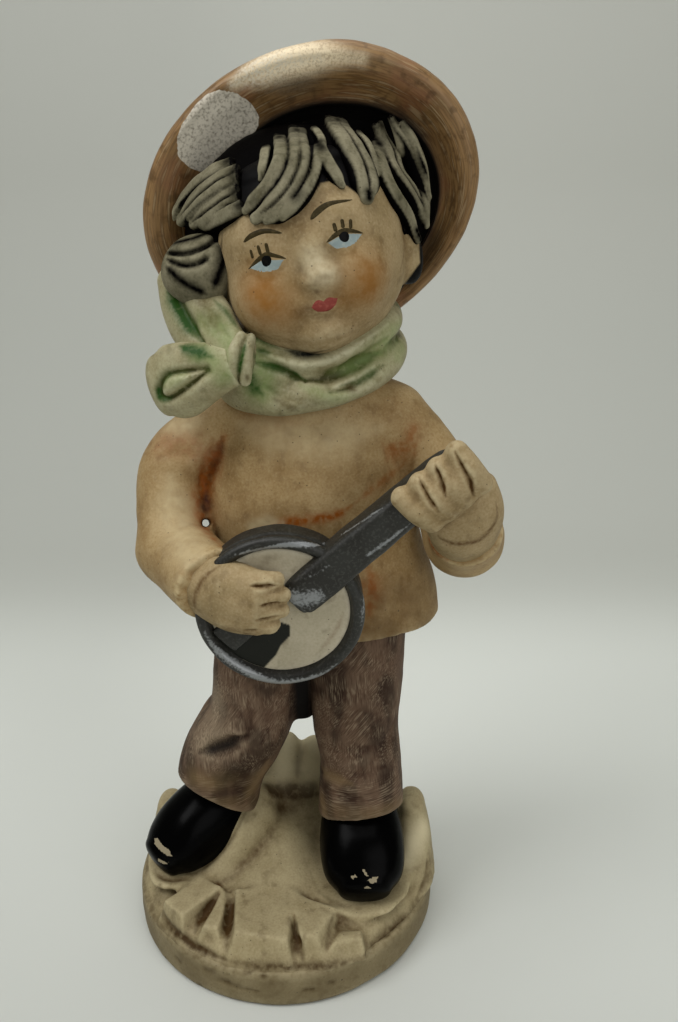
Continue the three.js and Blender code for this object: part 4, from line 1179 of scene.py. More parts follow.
class Workbench:
    """Turns surfaces into the scene's pieces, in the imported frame."""

    def __init__(self) -> None:
        """The layout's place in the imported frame, from the plinth's box."""
        low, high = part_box("plinth")
        middle = (np.array(low) + np.array(high)) / 2 / MM
        self.shift = np.array([middle[0] - PLINTH_MIDDLE[0], middle[1] - PLINTH_MIDDLE[1], 0.0])
        self.coats: dict[str, bpy.types.Material] = {}

    def coat(self, finish: Coat) -> bpy.types.Material:
        """The finish's material, made once."""
        if finish.name not in self.coats:
            self.coats[finish.name] = finish.material()
        return self.coats[finish.name]

    def place(
        self, name: str, skin: Skin, finish: Coat, slot: str, nodes: Sequence[str] = ()
    ) -> bpy.types.Object:
        """One piece of the figurine.

        Args:
            name: The piece's name.
            skin: Its surface, in the layout's millimetres.
            finish: What it is painted with.
            slot: Not used.
            nodes: The frame's nodes that it stands for.

        Returns:
            The piece, riding on the frame.
        """
        mesh = bpy.data.meshes.new(name)
        mesh.vertices.add(len(skin.points))
        mesh.vertices.foreach_set("co", ((skin.points + self.shift) * MM).astype(np.float32).ravel())
        corners = np.concatenate([skin.quads.ravel(), skin.tris.ravel()]).astype(np.int32)
        sizes = np.concatenate([np.full(len(skin.quads), 4), np.full(len(skin.tris), 3)]).astype(np.int32)
        mesh.loops.add(len(corners))
        mesh.loops.foreach_set("vertex_index", corners)
        mesh.polygons.add(len(sizes))
        mesh.polygons.foreach_set("loop_start", (np.cumsum(sizes) - sizes).astype(np.int32))
        mesh.polygons.foreach_set("use_smooth", np.ones(len(sizes), bool))
        mesh.update(calc_edges=True)
        for key, values in skin.paint.items():
            kind, part = ("FLOAT", "value") if values.ndim == 1 else ("FLOAT_VECTOR", "vector")
            painted = mesh.attributes.new(key, kind, "POINT")
            painted.data.foreach_set(part, values.astype(np.float32).ravel())
        piece = bpy.data.objects.new(name, mesh)
        bpy.context.scene.collection.objects.link(piece)
        mesh.materials.append(self.coat(finish))
        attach(piece, "root")
        if nodes:
            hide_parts(*nodes)
        log.info("%s: %d points, %d faces", name, len(skin.points), len(sizes))
        return piece


@dataclass
class Plinth:
    """The round plinth: a turned disc with a soft rim and a pour hole in its underside."""

    middle: Pixel = PLINTH_MIDDLE
    radius: float = 37.6
    height: float = PLINTH_TOP
    pour_hole: float = 7.0
    pour_depth: float = 6.0
    pit_depth: float = 0.25
    pitch: float = 0.6

    def build(self) -> Skin:
        """The turned surface: the profile's radius and height carried round the middle."""
        r, h, hole, deep = self.radius, self.height, self.pour_hole, self.pour_depth
        profile = [
            (0, deep), (hole - 0.8, deep), (hole, deep - 0.8), (hole, 0.7), (hole + 0.7, 0), (r - 1.4, 0),
            (r - 0.5, 0.3), (r - 0.1, 1.2), (r + 0.05, h * 0.5), (r - 0.05, h - 1.2), (r - 0.3, h - 0.4),
            (r - 0.8, h - 0.05), (r - 1.5, h - 0.1), (r - 2.2, h - 0.5), (r - 8, h - 0.8), (0, h - 0.8),
        ]
        radius, height, _, _ = walked(profile, self.pitch)
        angle = circle(int(2 * math.pi * r / self.pitch))
        x, y = self.middle[0] + radius * np.cos(angle), self.middle[1] + radius * np.sin(angle)
        grid = np.stack([x, y, height + 0 * angle], -1)
        skin = sheet(grid).relax(1).rough(0.16, 9.0, 3).rough(0.05, 2.5, 4)
        skin.points[:, 2] = np.maximum(skin.points[:, 2], 0)
        skin.relief()
        side = np.hypot(skin.points[:, 0] - self.middle[0], skin.points[:, 1] - self.middle[1])
        top = (skin.points[:, 2] > h - 1.6) * ease((r - 0.5 - side) / 1.0)
        skin.paint["umber"] = top * (0.6 + 0.35 * lumps(skin.points, 3.0, 8))
        foot = ease((0.8 - skin.points[:, 2]) / 0.8)
        # Painted shade down the side wall.
        skin.paint["dusk"] = ease((side - r + 1.6) / 1.2)
        skin.paint["umber"] = np.maximum(skin.paint["umber"], 0.8 * foot)
        for route, width in (
            ([(180, 940), (195, 951), (216, 957)], 0.5), ([(205, 975), (240, 988), (262, 992)], 0.45),
            ([(206, 970), (212, 972)], 0.75), ([(222, 981), (229, 983)], 0.6),
            ([(243, 971), (253, 973)], 0.5), ([(196, 983), (203, 987)], 0.5),
            ([(300, 990), (318, 990)], 0.5), ([(176, 958), (180, 962)], 0.6),
            ([(262, 976), (265, 977)], 0.6), ([(330, 983), (334, 983)], 0.6),
        ):
            path = SIGHT.on(skin, route)
            skin.carve(path, width, self.pit_depth).mark("umber", path, width, 1.0)
        return skin

    def dress(self, bench: Workbench) -> None:
        """The painted plinth."""
        bench.place("cast_plinth", self.build(), GROUND_WASH, "bisque", ["plinth"])


@dataclass
class Shoe:
    """A blunt round-toed shoe, given by its foot's place and how far its toe turns out."""

    side: Side
    x: float
    y: float
    toe_out: float
    width: float
    length: float = 29.0
    height: float = 20.0
    sole: float = SOLE_Z
    chips: tuple[tuple[Pixel, ...], ...] = ()

    def heading(self) -> Array:
        """The direction in which the toe points."""
        out = math.radians(self.toe_out)
        return np.array([math.sin(out) * self.side.value, -math.cos(out), 0])

    def loft(self, grow: float = 0.0) -> Loft:
        """The shoe's body as sections from heel to toe, flat below."""
        heading = self.heading()
        stations = (
            (0.06, 0.6, 0.72), (0.24, 0.88, 0.98), (0.45, 1, 1),
            (0.66, 1, 0.86), (0.84, 0.9, 0.64), (0.95, 0.62, 0.48),
        )
        rings = []
        for share, wide, high in stations:
            place = np.array([self.x, self.y, self.sole + high * self.height / 2])
            place = place + heading * (share - 0.42) * self.length
            rings.append((*place, wide * self.width + 2 * grow, high * self.height * 1.12 + 2 * grow))
        across = np.array([-heading[1], heading[0], 0])
        domes, floor = (1.8 + grow, 2 + grow), self.sole - grow
        return Loft(rings, across=across, domes=domes, floor=floor, square=2.25, pitch=0.45)

    def build(self) -> Skin:
        """The shoe's surface, with its glaze's unevenness and its chips."""
        low, high = (self.x - 22, self.y - 24, self.sole - 3), (self.x + 22, self.y + 20, self.sole + 26)
        clay = Clay(low, high, 0.45)
        skin = clay.add(self.loft()).skin(2).rough(0.12, 6.0, 5)
        skin.relief()
        skin.paint["chip"] = np.zeros(len(skin.points))
        for outline in self.chips:
            skin.paint["chip"] = np.maximum(skin.paint["chip"], SIGHT.patch(skin, outline, 0.5))
        return skin

    def dress(self, bench: Workbench) -> None:
        """The glazed shoe."""
        name = self.side.name.lower()
        bench.place(f"{name}_shoe_glazed", self.build(), SHOE_GLAZE, "shoe_gloss", [f"{name}_shoe"])


LEFT_SHOE = Shoe(
    Side.LEFT, 17.3, -4.5, 2, 20.5,
    chips=(
        ((350, 876), (355, 874), (358, 878), (352, 880)), ((361, 869), (364, 868), (370, 877), (365, 876)),
        ((366, 880), (374, 876), (379, 876), (377, 883), (371, 884)),
        ((362, 887), (369, 886), (372, 889), (364, 890)),
    ),
)
RIGHT_SHOE = Shoe(
    Side.RIGHT, -20.2, 0.5, 52, 18,
    chips=(
        ((154, 837), (158, 838), (163, 845), (170, 850), (173, 857), (168, 857), (160, 851), (154, 844)),
        ((157, 857), (166, 862), (172, 862), (165, 865), (158, 862)),
    ),
)


# Heights of the undersides of the front stones and of the collars, both inside the bed
STONE_FOOT = 8.2
COLLAR_FOOT = 8.6
# The blocks on the front edge: corners of the top and of the foot in plan, and the height
FRONT_STONES = (
    (
        ((-29.6, -20.8), (-24.6, -25.2), (-16.6, -16.4), (-22, -13.5)),
        ((-31.6, -20.5), (-24.2, -28), (-13, -14), (-23, -9)), 15.6,
    ),
    (
        ((-19.4, -27.8), (-15.8, -28.6), (-14.4, -18), (-16.0, -17)),
        ((-21.8, -28.6), (-14.8, -31.8), (-12.6, -16), (-18, -14)), 15.0,
    ),
    (
        ((-11.8, -30.2), (0.2, -32.2), (1.8, -18), (-13, -17)),
        ((-14, -33.4), (1.6, -35.2), (3, -16), (-14.8, -15)), 15.6,
    ),
    (
        ((3.1, -31.4), (6.4, -31.2), (11, -23.6), (0.6, -18)),
        ((2.8, -33.8), (9.6, -34), (13, -21), (0, -16)), 15.6,
    ),
    (
        ((10.4, -31.0), (17.2, -29.0), (16.8, -27.0), (12.6, -27.6)),
        ((8, -34), (18.4, -31.8), (17.6, -25.8), (10.6, -26.6)), 13.2,
    ),
)


@dataclass
class Ground:
    """The rocky ground: a saddle between the feet, a crag behind, ledges and front stones.

    The ground's top is a height above each place of a round grid. Stones, ledges and crag are
    pressed onto it and cut into it.
    """

    radius: float = 36.6
    edge_rise: float = 3.4
    crag_top: float = 39.5
    fillets: tuple[float, ...] = (3.5, 2.2, 2.2, 3.5, 3.5, 3.6)
    stone_fillet: float = 1.1
    collar_width: float = 0.9
    collar_rise: float = 1.0
    collar_fillet: float = 4.0
    collar_reach: float = 34.8
    collar_spread: float = 0.2
    pitch: float = 0.6

    def height(self, x: Array, y: Array) -> Array:
        """The ground's height: an edge, and gentle swells of the form h * exp(-r2)."""

        def swell(h: float, cx: float, cy: float, wide: float, deep: float, lean: float = 0.0) -> Array:
            """A bell of height h round a middle."""
            dx, dy = x - cx, y - cy
            return h * np.exp(-(((dx + lean * dy) / wide) ** 2) - (dy / deep) ** 2)

        radial = np.hypot(x - PLINTH_MIDDLE[0], y - PLINTH_MIDDLE[1])
        inner = ease((self.radius - radial) / 5)
        swells = (
            swell(9.5, -3.5, 4, 10, 14, 0.1) + swell(3.4, -4, -13, 10, 12) + swell(5, 2, 18, 16, 10)
            + swell(4, 31, 2, 5, 12) + swell(4, -31, 12, 8, 9)
            - swell(1.6, -29, -17, 6, 5) - swell(1.6, 26, -21, 5, 5)
        )
        return PLINTH_TOP + self.edge_rise * (0.3 + 0.7 * inner) + inner * swells

    def bed(self) -> Skin:
        """The round grid of heights, closed by its side and its flat underside."""
        count = int(self.radius / self.pitch)
        angle = circle(int(2 * math.pi * self.radius / self.pitch))
        rim = self.radius + 0.35 * np.sin(5 * angle + 1) + 0.25 * np.sin(9 * angle)
        rim = rim + 0.9 * np.cos(angle - 0.2) ** 6
        share = np.linspace(0, 1, count)[:, None]
        x = PLINTH_MIDDLE[0] + share * rim * np.cos(angle)
        y = PLINTH_MIDDLE[1] + share * rim * np.sin(angle)
        z = self.height(x, y) - 1.2 * ease((share - 0.93) / 0.07)
        top = np.stack([x, y, z], -1)
        low = top[-1:].copy()
        low[..., 2] = PLINTH_TOP - 0.9
        floor = np.repeat(low.mean(1, keepdims=True), len(angle), 1)
        return sheet(np.concatenate([top, low, floor]))

    def stone(self, top: Sequence[Pixel], foot: Sequence[Pixel], height: float) -> Skin:
        """A block from its top and its foot, each four corners in the ground plan."""
        low, high = [(*p, STONE_FOOT) for p in foot], [(*p, height) for p in top]
        return block(np.array(low + high, float))

    def crag(self) -> tuple[Loft, Loft, Loft]:
        """The boulder behind the legs, and its two blunt peaks."""
        tip = self.crag_top
        boulder = [
            (1.2, 9, 12, 25, 19), (1.2, 10.5, 21, 22, 14),
            (1.2, 12, 29, 19.5, 10.5), (1.2, 12.8, tip - 9, 16.5, 9),
        ]
        right = [(-3.6, 12.6, 26, 9, 9), (-2.8, 13, tip - 5.0, 8.6, 8.6)]
        left = [(5.6, 12.8, 26, 9, 9), (5.4, 13.2, tip - 6.0, 8.0, 8.6)]
        return (
            Loft(boulder, level=True, domes=(0, 2.0), square=2.4),
            Loft(right, level=True, domes=(0, 5.0), square=2.2),
            Loft(left, level=True, domes=(0, 4.2), square=2.2),
        )

    def ledges(self) -> tuple[Loft, Loft]:
        """The two low ledges at the sides."""
        left = [(31.2, 0, 10, 10, 24), (31.2, 2, 18, 8.5, 18), (30.8, 4, 24, 6.5, 11)]
        right = [(-33, 8, 10, 9, 22), (-33.2, 8, 17, 7.5, 16), (-33.2, 8, 20.5, 6, 11)]
        return (
            Loft(left, level=True, domes=(0, 3), square=2.4),
            Loft(right, level=True, domes=(0, 2.8), square=2.3),
        )

    def bank(self) -> Loft:
        """The bank of ground that climbs the inner side of the right shoe to its trouser leg."""
        rings = [
            (-23.5, -11, 9.5, 6), (-19.6, -8.2, 13, 7), (-15.2, -5.2, 17.2, 8.5),
            (-11.4, -2.4, 22, 9.5), (-9, 1, 25, 9.5), (-8.6, 6, 25.5, 8.5),
        ]
        return Loft(rings, domes=(2, 3))

    def build(self) -> Skin:
        """Bed, stones, ledges and crag as one surface, with its grooves and its wash."""
        clay = Clay((-41, -38, 7), (37, 41, 42), 0.42).add(self.bed())
        for form, fillet in zip((*self.crag(), *self.ledges(), self.bank()), self.fillets):
            clay.add(form, fillet)
        for top, foot, height in FRONT_STONES:
            clay.add(self.stone(top, foot, height), self.stone_fillet)
        for shoe in (LEFT_SHOE, RIGHT_SHOE):
            box = Clay(self._corner(shoe, -1), self._corner(shoe, 1), 0.42)
            collar = box.add(shoe.loft(self.collar_width)).skin(0)
            clay.add(self._below(collar, shoe.sole + self.collar_rise), self.collar_fillet)
        skin = clay.skin(4).rough(0.22, 8.0, 11).rough(0.07, 2.4, 12)
        self.groove(skin)
        skin.relax(1).relief(0.12, 0.45)
        self.wash(skin)
        return skin

    @staticmethod
    def _corner(shoe: Shoe, way: int) -> Array:
        """A corner of the box that holds a shoe and its collar."""
        return np.array([shoe.x, shoe.y, shoe.sole + 10]) + way * np.array([24, 26, 16])

    def _below(self, skin: Skin, top: float) -> Skin:
        """A surface pressed down to a height, with its sole drawn down and spread into the ground."""
        high = skin.points[:, 2]
        sole = high < SOLE_Z - 0.3
        middle = skin.points[:, :2].mean(0)
        skin.points[sole, :2] += self.collar_spread * (skin.points[sole, :2] - middle)
        out = skin.points[:, :2] - PLINTH_MIDDLE
        kept = np.minimum(1, self.collar_reach / np.linalg.norm(out, axis=1))
        skin.points[:, :2] = PLINTH_MIDDLE + out * kept[:, None]
        skin.points[:, 2] = np.where(sole, COLLAR_FOOT, np.minimum(high, top))
        return skin

    def groove(self, skin: Skin) -> None:
        """Carved clefts between the stones, beside the shoes and on the crag."""
        SIGHT.carve(skin, [
            ([(244, 812), (231, 838), (212, 860), (192, 874)], 0.8, 0.45),
            ([(295, 932), (299, 946), (303, 960)], 1.0, 0.7),
            ([(226, 888), (229, 915), (227, 945)], 1.2, 0.6),
            ([(218, 892), (205, 912), (195, 932)], 1.2, 0.5),
            ([(428, 850), (427, 874), (416, 900)], 0.8, 0.5),
            ([(301, 742), (302, 750), (302, 758)], 1.2, 0.3),
            ([(266, 800), (285, 806), (306, 800)], 2.2, 0.5),
            ([(320, 906), (334, 912), (350, 920)], 0.9, 0.35),
            ([(150, 868), (165, 878), (190, 880)], 0.9, 0.6),
            ([(158, 900), (168, 922), (186, 940), (205, 951), (226, 960)], 0.8, 0.45),
            ([(365, 956), (380, 941), (398, 926), (415, 908)], 1.2, 0.6),
        ])

    def wash(self, skin: Skin) -> None:
        """Brown wash brushed into the clefts and along the foot of the stones, wash and painted shade in the
        cleft at the crag's foot, and painted light on the crag and beside the left shoe.
        """
        SIGHT.mark(skin, [("umber", *row) for row in (
            ([(158, 900), (168, 922), (186, 940), (205, 951), (226, 960)], 1.5, 0.95),
            ([(226, 961), (255, 966), (290, 968), (330, 966), (362, 958)], 1.3, 0.85),
            ([(226, 888), (229, 915), (227, 950)], 1.3, 0.5),
            ([(218, 892), (205, 912), (195, 935)], 1.5, 0.45),
            ([(290, 918), (297, 940), (303, 962)], 1.6, 0.75),
            ([(334, 914), (329, 930), (326, 946)], 1.0, 0.6),
            ([(366, 956), (380, 941), (398, 926), (415, 908)], 1.7, 0.85),
            ([(246, 812), (232, 838), (213, 860), (193, 876), (165, 880), (152, 866)], 0.8, 0.55),
            ([(266, 800), (285, 808), (306, 801), (318, 796)], 3.0, 0.45),
            ([(310, 872), (320, 893), (345, 906), (375, 902)], 0.8, 0.35),
            ([(316, 826), (314, 850), (318, 868)], 1.6, 0.3), ([(160, 885), (156, 905)], 1.8, 0.6),
            ([(429, 850), (428, 874), (417, 900)], 0.9, 0.55),
            ([(335, 935), (342, 926), (352, 922)], 1.6, 0.6),
        )])
        # Painted light: pale marks that brighten the crag and the ground beside the left shoe.
        SIGHT.mark(skin, [
            ("pale", [(288, 742), (284, 756), (282, 766)], 4.0, 0.65),
            ("pale", [(311, 740), (314, 764)], 5.0, 0.65), ("pale", [(404, 856), (424, 828)], 3.0, 0.65),
        ], 0.1)
        # Brown wash and painted shade in the cleft at the crag's foot, under the legs.
        cleft = SIGHT.patch(skin, [(264, 784), (316, 782), (320, 796), (300, 801), (270, 798)], 5.0)
        skin.paint["umber"] = np.maximum(skin.paint["umber"], 1.1 * cleft)
        skin.mark("umber", SIGHT.on(skin, [(300, 744), (299, 760), (297, 780)]), 0.9, 0.7)
        foot = ease((PLINTH_TOP + 1.3 - skin.points[:, 2]) / 1.3)
        skin.paint["umber"] = np.maximum(skin.paint["umber"], 0.55 * foot)

    def dress(self, bench: Workbench) -> None:
        """The washed ground, which stands for the mound, the crag and the stones."""
        nodes = ["rock_mound", "back_crag", *(f"front_stone_{i}" for i in range(1, 6))]
        bench.place("rocky_ground", self.build(), GROUND_WASH, "bisque", nodes)


@dataclass
class Trousers:
    """Two trouser legs, joined high up by a web of cloth."""

    hem_slant: float = 0.32
    hem_leans: tuple[float, float] = (-0.38, 0.15)
    left: tuple[tuple[float, ...], ...] = (
        (17.3, -4.5, 30.2, 20.8, 20.8), (17.2, -4.5, 37, 20.6, 20.8), (17.0, -3.8, 45, 19.6, 20.4),
        (15.9, -2.8, 54, 20.6, 21.8), (15.6, -1.5, 66, 22.8, 24.5), (15.5, 0, 86, 24.5, 28),
    )
    right: tuple[tuple[float, ...], ...] = (
        (-18.6, 0.2, 32.4, 20.2, 20.2), (-16.6, -0.6, 41, 20.8, 20.4), (-12.4, -2.2, 49.5, 21.6, 21),
        (-9.2, -2.6, 56, 20.4, 22), (-7.6, -1.5, 66, 20.8, 24), (-5.2, 0, 86, 24, 28),
    )

    def leg(self, side: Side) -> Loft:
        """One leg as a loft whose hem slants to the front and leans sideways."""
        rings = self.left if side is Side.LEFT else self.right
        lean = self.hem_leans[side is Side.LEFT]
        return Loft(rings, slant=self.hem_slant, lean=lean, domes=(0.5, 0), square=2.15, pitch=0.45)

    def build(self, side: Side) -> Skin:
        """One leg's surface with its creases, streak directions and stains."""
        clay = Clay((-33, -20, 26), (31, 20, 88), 0.42)
        if side is Side.LEFT:
            clay.add(self.leg(side))
            creases = (
                ([(330, 792), (352, 798), (368, 802)], 1.4, 0.3),
                ([(318, 745), (345, 752), (372, 748)], 2.2, 0.45),
                ([(322, 772), (350, 778), (385, 766)], 2.0, 0.4),
                ([(395, 720), (384, 745), (370, 765)], 1.8, 0.35),
                ([(330, 690), (352, 698), (380, 694)], 2.0, 0.35),
            )
        else:
            web = Loft([(2.9, 1.5, 55.4, 7, 12), (3.2, 1.5, 63, 9, 16), (4, 1.5, 86, 13, 21)], domes=(2.5, 0))
            clay.add(self.leg(side)).add(web, 2.5)
            creases = (
                ([(200, 752), (222, 746), (246, 737)], 1.7, 2.2),
                ([(206, 757), (224, 754), (240, 747)], 1.2, 0.6),
                ([(247, 700), (250, 722), (246, 742)], 1.3, 0.5),
                ([(221, 688), (232, 706), (246, 722)], 1.8, 0.35),
                ([(262, 700), (268, 722), (262, 744)], 1.4, 0.3),
                ([(222, 782), (236, 778), (250, 768)], 2.4, 0.45),
            )
        skin = clay.skin(2).rough(0.28, 7.5, 21 + side.value).rough(0.09, 2.6, 24)
        SIGHT.carve(skin, creases)
        skin.relief(0.12, 0.45)
        self.stain(skin, side)
        return skin

    def stain(self, skin: Skin, side: Side) -> None:
        """Where the brush ran level, where tan shows through, and painted shade in black in the cleft between
        the legs and in the knee crease.
        """
        points = skin.points
        hem = 33 - self.hem_slant * (points[:, 1] + 3)
        skin.paint["level_strokes"] = ease((hem + 11 - points[:, 2]) / 8)
        skin.paint["tan"] = 0.45 * ease((hem + 2.5 - points[:, 2]) / 3) * (0.6 + 0.6 * lumps(points, 5, 31))
        # Painted shade: black in the cleft between the legs.
        cleft = ease((3.5 - np.abs(points[:, 0] - 3.2)) / 2.5) * ease((points[:, 2] - 50) / 4)
        skin.paint["ink"] = cleft * ease((2 - points[:, 1]) / 4)
        if side is Side.LEFT:
            marks = [
                ("tan", [(322, 768), (330, 776), (352, 784)], 1.6, 0.7),
                ("tan", [(322, 800), (324, 812)], 2.0, 0.7),
            ]
        else:
            marks = [
                ("tan", [(196, 778), (210, 782), (226, 778)], 2.8, 0.75),
                ("tan", [(244, 800), (258, 782), (268, 762)], 3.0, 0.75),
                # Painted shade: black in the knee crease and beside it.
                ("ink", [(200, 753), (222, 747), (244, 739)], 1.6, 0.95),
                ("ink", [(226, 778), (234, 770)], 2.6, 0.6),
                ("worn", [(216, 700), (214, 722), (202, 744)], 4.4, 1.2),
            ]
        SIGHT.mark(skin, marks)

    def dress(self, bench: Workbench) -> None:
        """Both painted legs."""
        for side in Side:
            name = side.name.lower()
            node = f"{name}_trouser_leg"
            bench.place(f"{name}_leg_painted", self.build(side), TROUSER_PAINT, "trouser_paint", [node])


@dataclass(frozen=True)
class Sleeve:
    """An upper arm that bows outwards and a forearm that ends in a cuff."""

    side: Side
    elbow: Point
    wrist: Point
    bow: float
    width: float = 15.8
    cuff: float = 15.4
    shoulder_z: float = 126.5
    body_x: float = 6.2
    shoulder_reach: float = 17.0

    def lofts(self) -> tuple[Loft, Loft]:
        """The upper arm and the forearm."""
        way = self.side.value
        shoulder = np.array([self.body_x + way * self.shoulder_reach, 0, self.shoulder_z])
        elbow, wrist = np.array(self.elbow), np.array(self.wrist)
        middle = shoulder + 0.4 * (elbow - shoulder) + np.array([way * self.bow, 2, 0])
        half = self.width / 2
        upper = Loft(
            [(*shoulder, self.width * 1.06), (*middle, self.width * 0.96), (*elbow, self.width)],
            across=BACK, domes=(half, half),
        )
        lower = Loft(
            [(*elbow, self.width), (*(elbow * 0.4 + wrist * 0.6), self.width * 0.99), (*wrist, self.cuff)],
            across=BACK, domes=(half, 1.0),
        )
        return upper, lower


@dataclass
class Tunic:
    """The tunic: flared skirt, soft chest and sloping shoulders, cast in one with its sleeves."""

    length: float = COLLAR_Z - SKIRT_Z
    gap_pixel: Pixel = (205.5, 523)
    gap_width: float = 1.9
    right: Sleeve = Sleeve(Side.RIGHT, (-23.6, -11, 101), (-13.6, -25.5, 98.5), 8.0)
    left: Sleeve = Sleeve(Side.LEFT, (38.8, -10.5, 102.8), (37.2, -20.5, 108.6), 2.4)
    stations: tuple[tuple[float, ...], ...] = (
        (0, 7.4, 0.5, 55.5, 0.7), (0.12, 7.4, 0.3, 53.3, 0.7), (0.29, 7.2, 0, 48, 0.7),
        (0.48, 4.8, 0, 47.3, 0.7), (0.68, 5.8, 0, 43, 0.7), (0.85, 6.2, 0.5, 41, 0.66),
        (0.96, 6.5, 1, 29, 0.76),
    )

    def trunk(self) -> Loft:
        """The body of the tunic as level sections."""
        rings = [
            (x, y, SKIRT_Z + share * self.length, wide, wide * deep)
            for share, x, y, wide, deep in self.stations
        ]
        return Loft(rings, level=True, domes=(0.9, 2.3), pitch=0.6)

    def build(self) -> Skin:
        """Trunk and sleeves in one, hollowed below and pierced under the arm, creased and stained."""
        clay = Clay((-40, -33, 79), (50, 21, 143), 0.45).add(self.trunk())
        hollow = Loft([(7.4, 0.5, 78, 50, 34), (7.4, 0.5, 85, 49, 33.5)], level=True, domes=(0, 1.5))
        clay.cut(hollow, 0.8)
        for sleeve, fillet in ((self.right, 2.0), (self.left, 2.6)):
            for part in sleeve.lofts():
                clay.add(part, fillet)
        clay.cut(Loft([(*SIGHT.at(self.gap_pixel, y), self.gap_width) for y in (-32, -6, 19)]), 0.5)
        skin = clay.skin(2).rough(0.3, 10.0, 41).rough(0.07, 2.4, 42)
        self.crease(skin)
        skin.relief(0.12, 0.5)
        self.stain(skin)
        return skin

    def crease(self, skin: Skin) -> None:
        """Soft folds of the cloth: below the arms, on the skirt and at the elbows."""
        SIGHT.carve(skin, [
            ([(213, 440), (208, 462), (200, 485)], 1.6, 1.0),
            ([(222, 437), (217, 455), (208, 474)], 1.0, 0.6),
            ([(370, 596), (366, 620), (362, 640)], 1.8, 0.5),
            ([(402, 580), (404, 605), (402, 634)], 2.0, 0.6),
            ([(385, 600), (384, 620), (382, 638)], 2.2, -0.35),
            ([(381, 440), (388, 462), (396, 484)], 0.5, 0.18),
            ([(388, 438), (394, 456), (402, 474)], 0.4, 0.15),
            ([(417, 440), (413, 462), (408, 480)], 0.5, 0.18),
            ([(180, 571), (196, 573), (210, 568)], 1.2, 0.35),
            ([(172, 588), (190, 590), (206, 582)], 1.0, 0.3),
            ([(160, 455), (180, 452), (198, 455)], 1.6, 0.35),
            ([(168, 596), (176, 600), (186, 599)], 0.7, 0.2),
            ([(444, 556), (462, 562), (482, 558)], 1.0, 0.35),
        ])

    def stain(self, skin: Skin) -> None:
        """Rust wash in the armpits, over the banjo and beside the left hand; painted highlights on the chest,
        the right shoulder and the right sleeve; painted shade on the lower skirt.
        """
        x, _, z = skin.points.T
        # Painted shade: the lower skirt darkened.
        skin.paint["dusk"] = ease((103 - z) / 14) * ease((35.5 - x) / 3) * ease((x + 8) / 4)
        SIGHT.mark(skin, [
            ("rust", [(224, 436), (216, 458), (208, 480), (200, 503), (206, 528), (222, 546)], 2.6, 0.85),
            ("deep_rust", [(222, 438), (217, 460), (210, 478)], 1.3, 0.62),
            ("deep_rust", [(207, 492), (204, 505), (206, 514)], 1.7, 1.0),
            ("rust", [(262, 527), (285, 523), (312, 520), (336, 515), (352, 506)], 1.1, 0.9),
            ("rust", [(356, 502), (380, 484), (404, 464)], 1.0, 0.45),
            ("rust", [(384, 445), (398, 452), (412, 440)], 2.6, 0.5),
            ("rust", [(412, 430), (410, 450)], 1.8, 0.45),
            ("rust", [(424, 530), (434, 545), (446, 560)], 2.0, 0.7),
            ("rust", [(368, 570), (372, 590), (370, 615)], 2.4, 0.7),
            # The cream marks in this list are painted highlights; the rust and pink are paint.
            ("cream", [(240, 424), (280, 436), (330, 440), (380, 428)], 4.5, 0.5),
            ("rust", [(230, 400), (262, 412), (300, 425)], 4.0, 0.25),
            ("pink", [(165, 440), (185, 444), (200, 452)], 3.5, 0.6),
            ("cream", [(246, 536), (262, 527), (282, 523)], 2.0, 0.8),
            ("cream", [(172, 425), (190, 424)], 2.5, 0.6),
            ("cream", [(170, 478), (176, 510), (190, 550), (206, 566)], 4.5, 0.6),
        ])

    def dress(self, bench: Workbench) -> None:
        """The painted tunic with its sleeves."""
        nodes = ["tunic", "right_sleeve", "left_sleeve"]
        bench.place("tunic_with_sleeves", self.build(), TUNIC_PAINT, "tunic_paint", nodes)


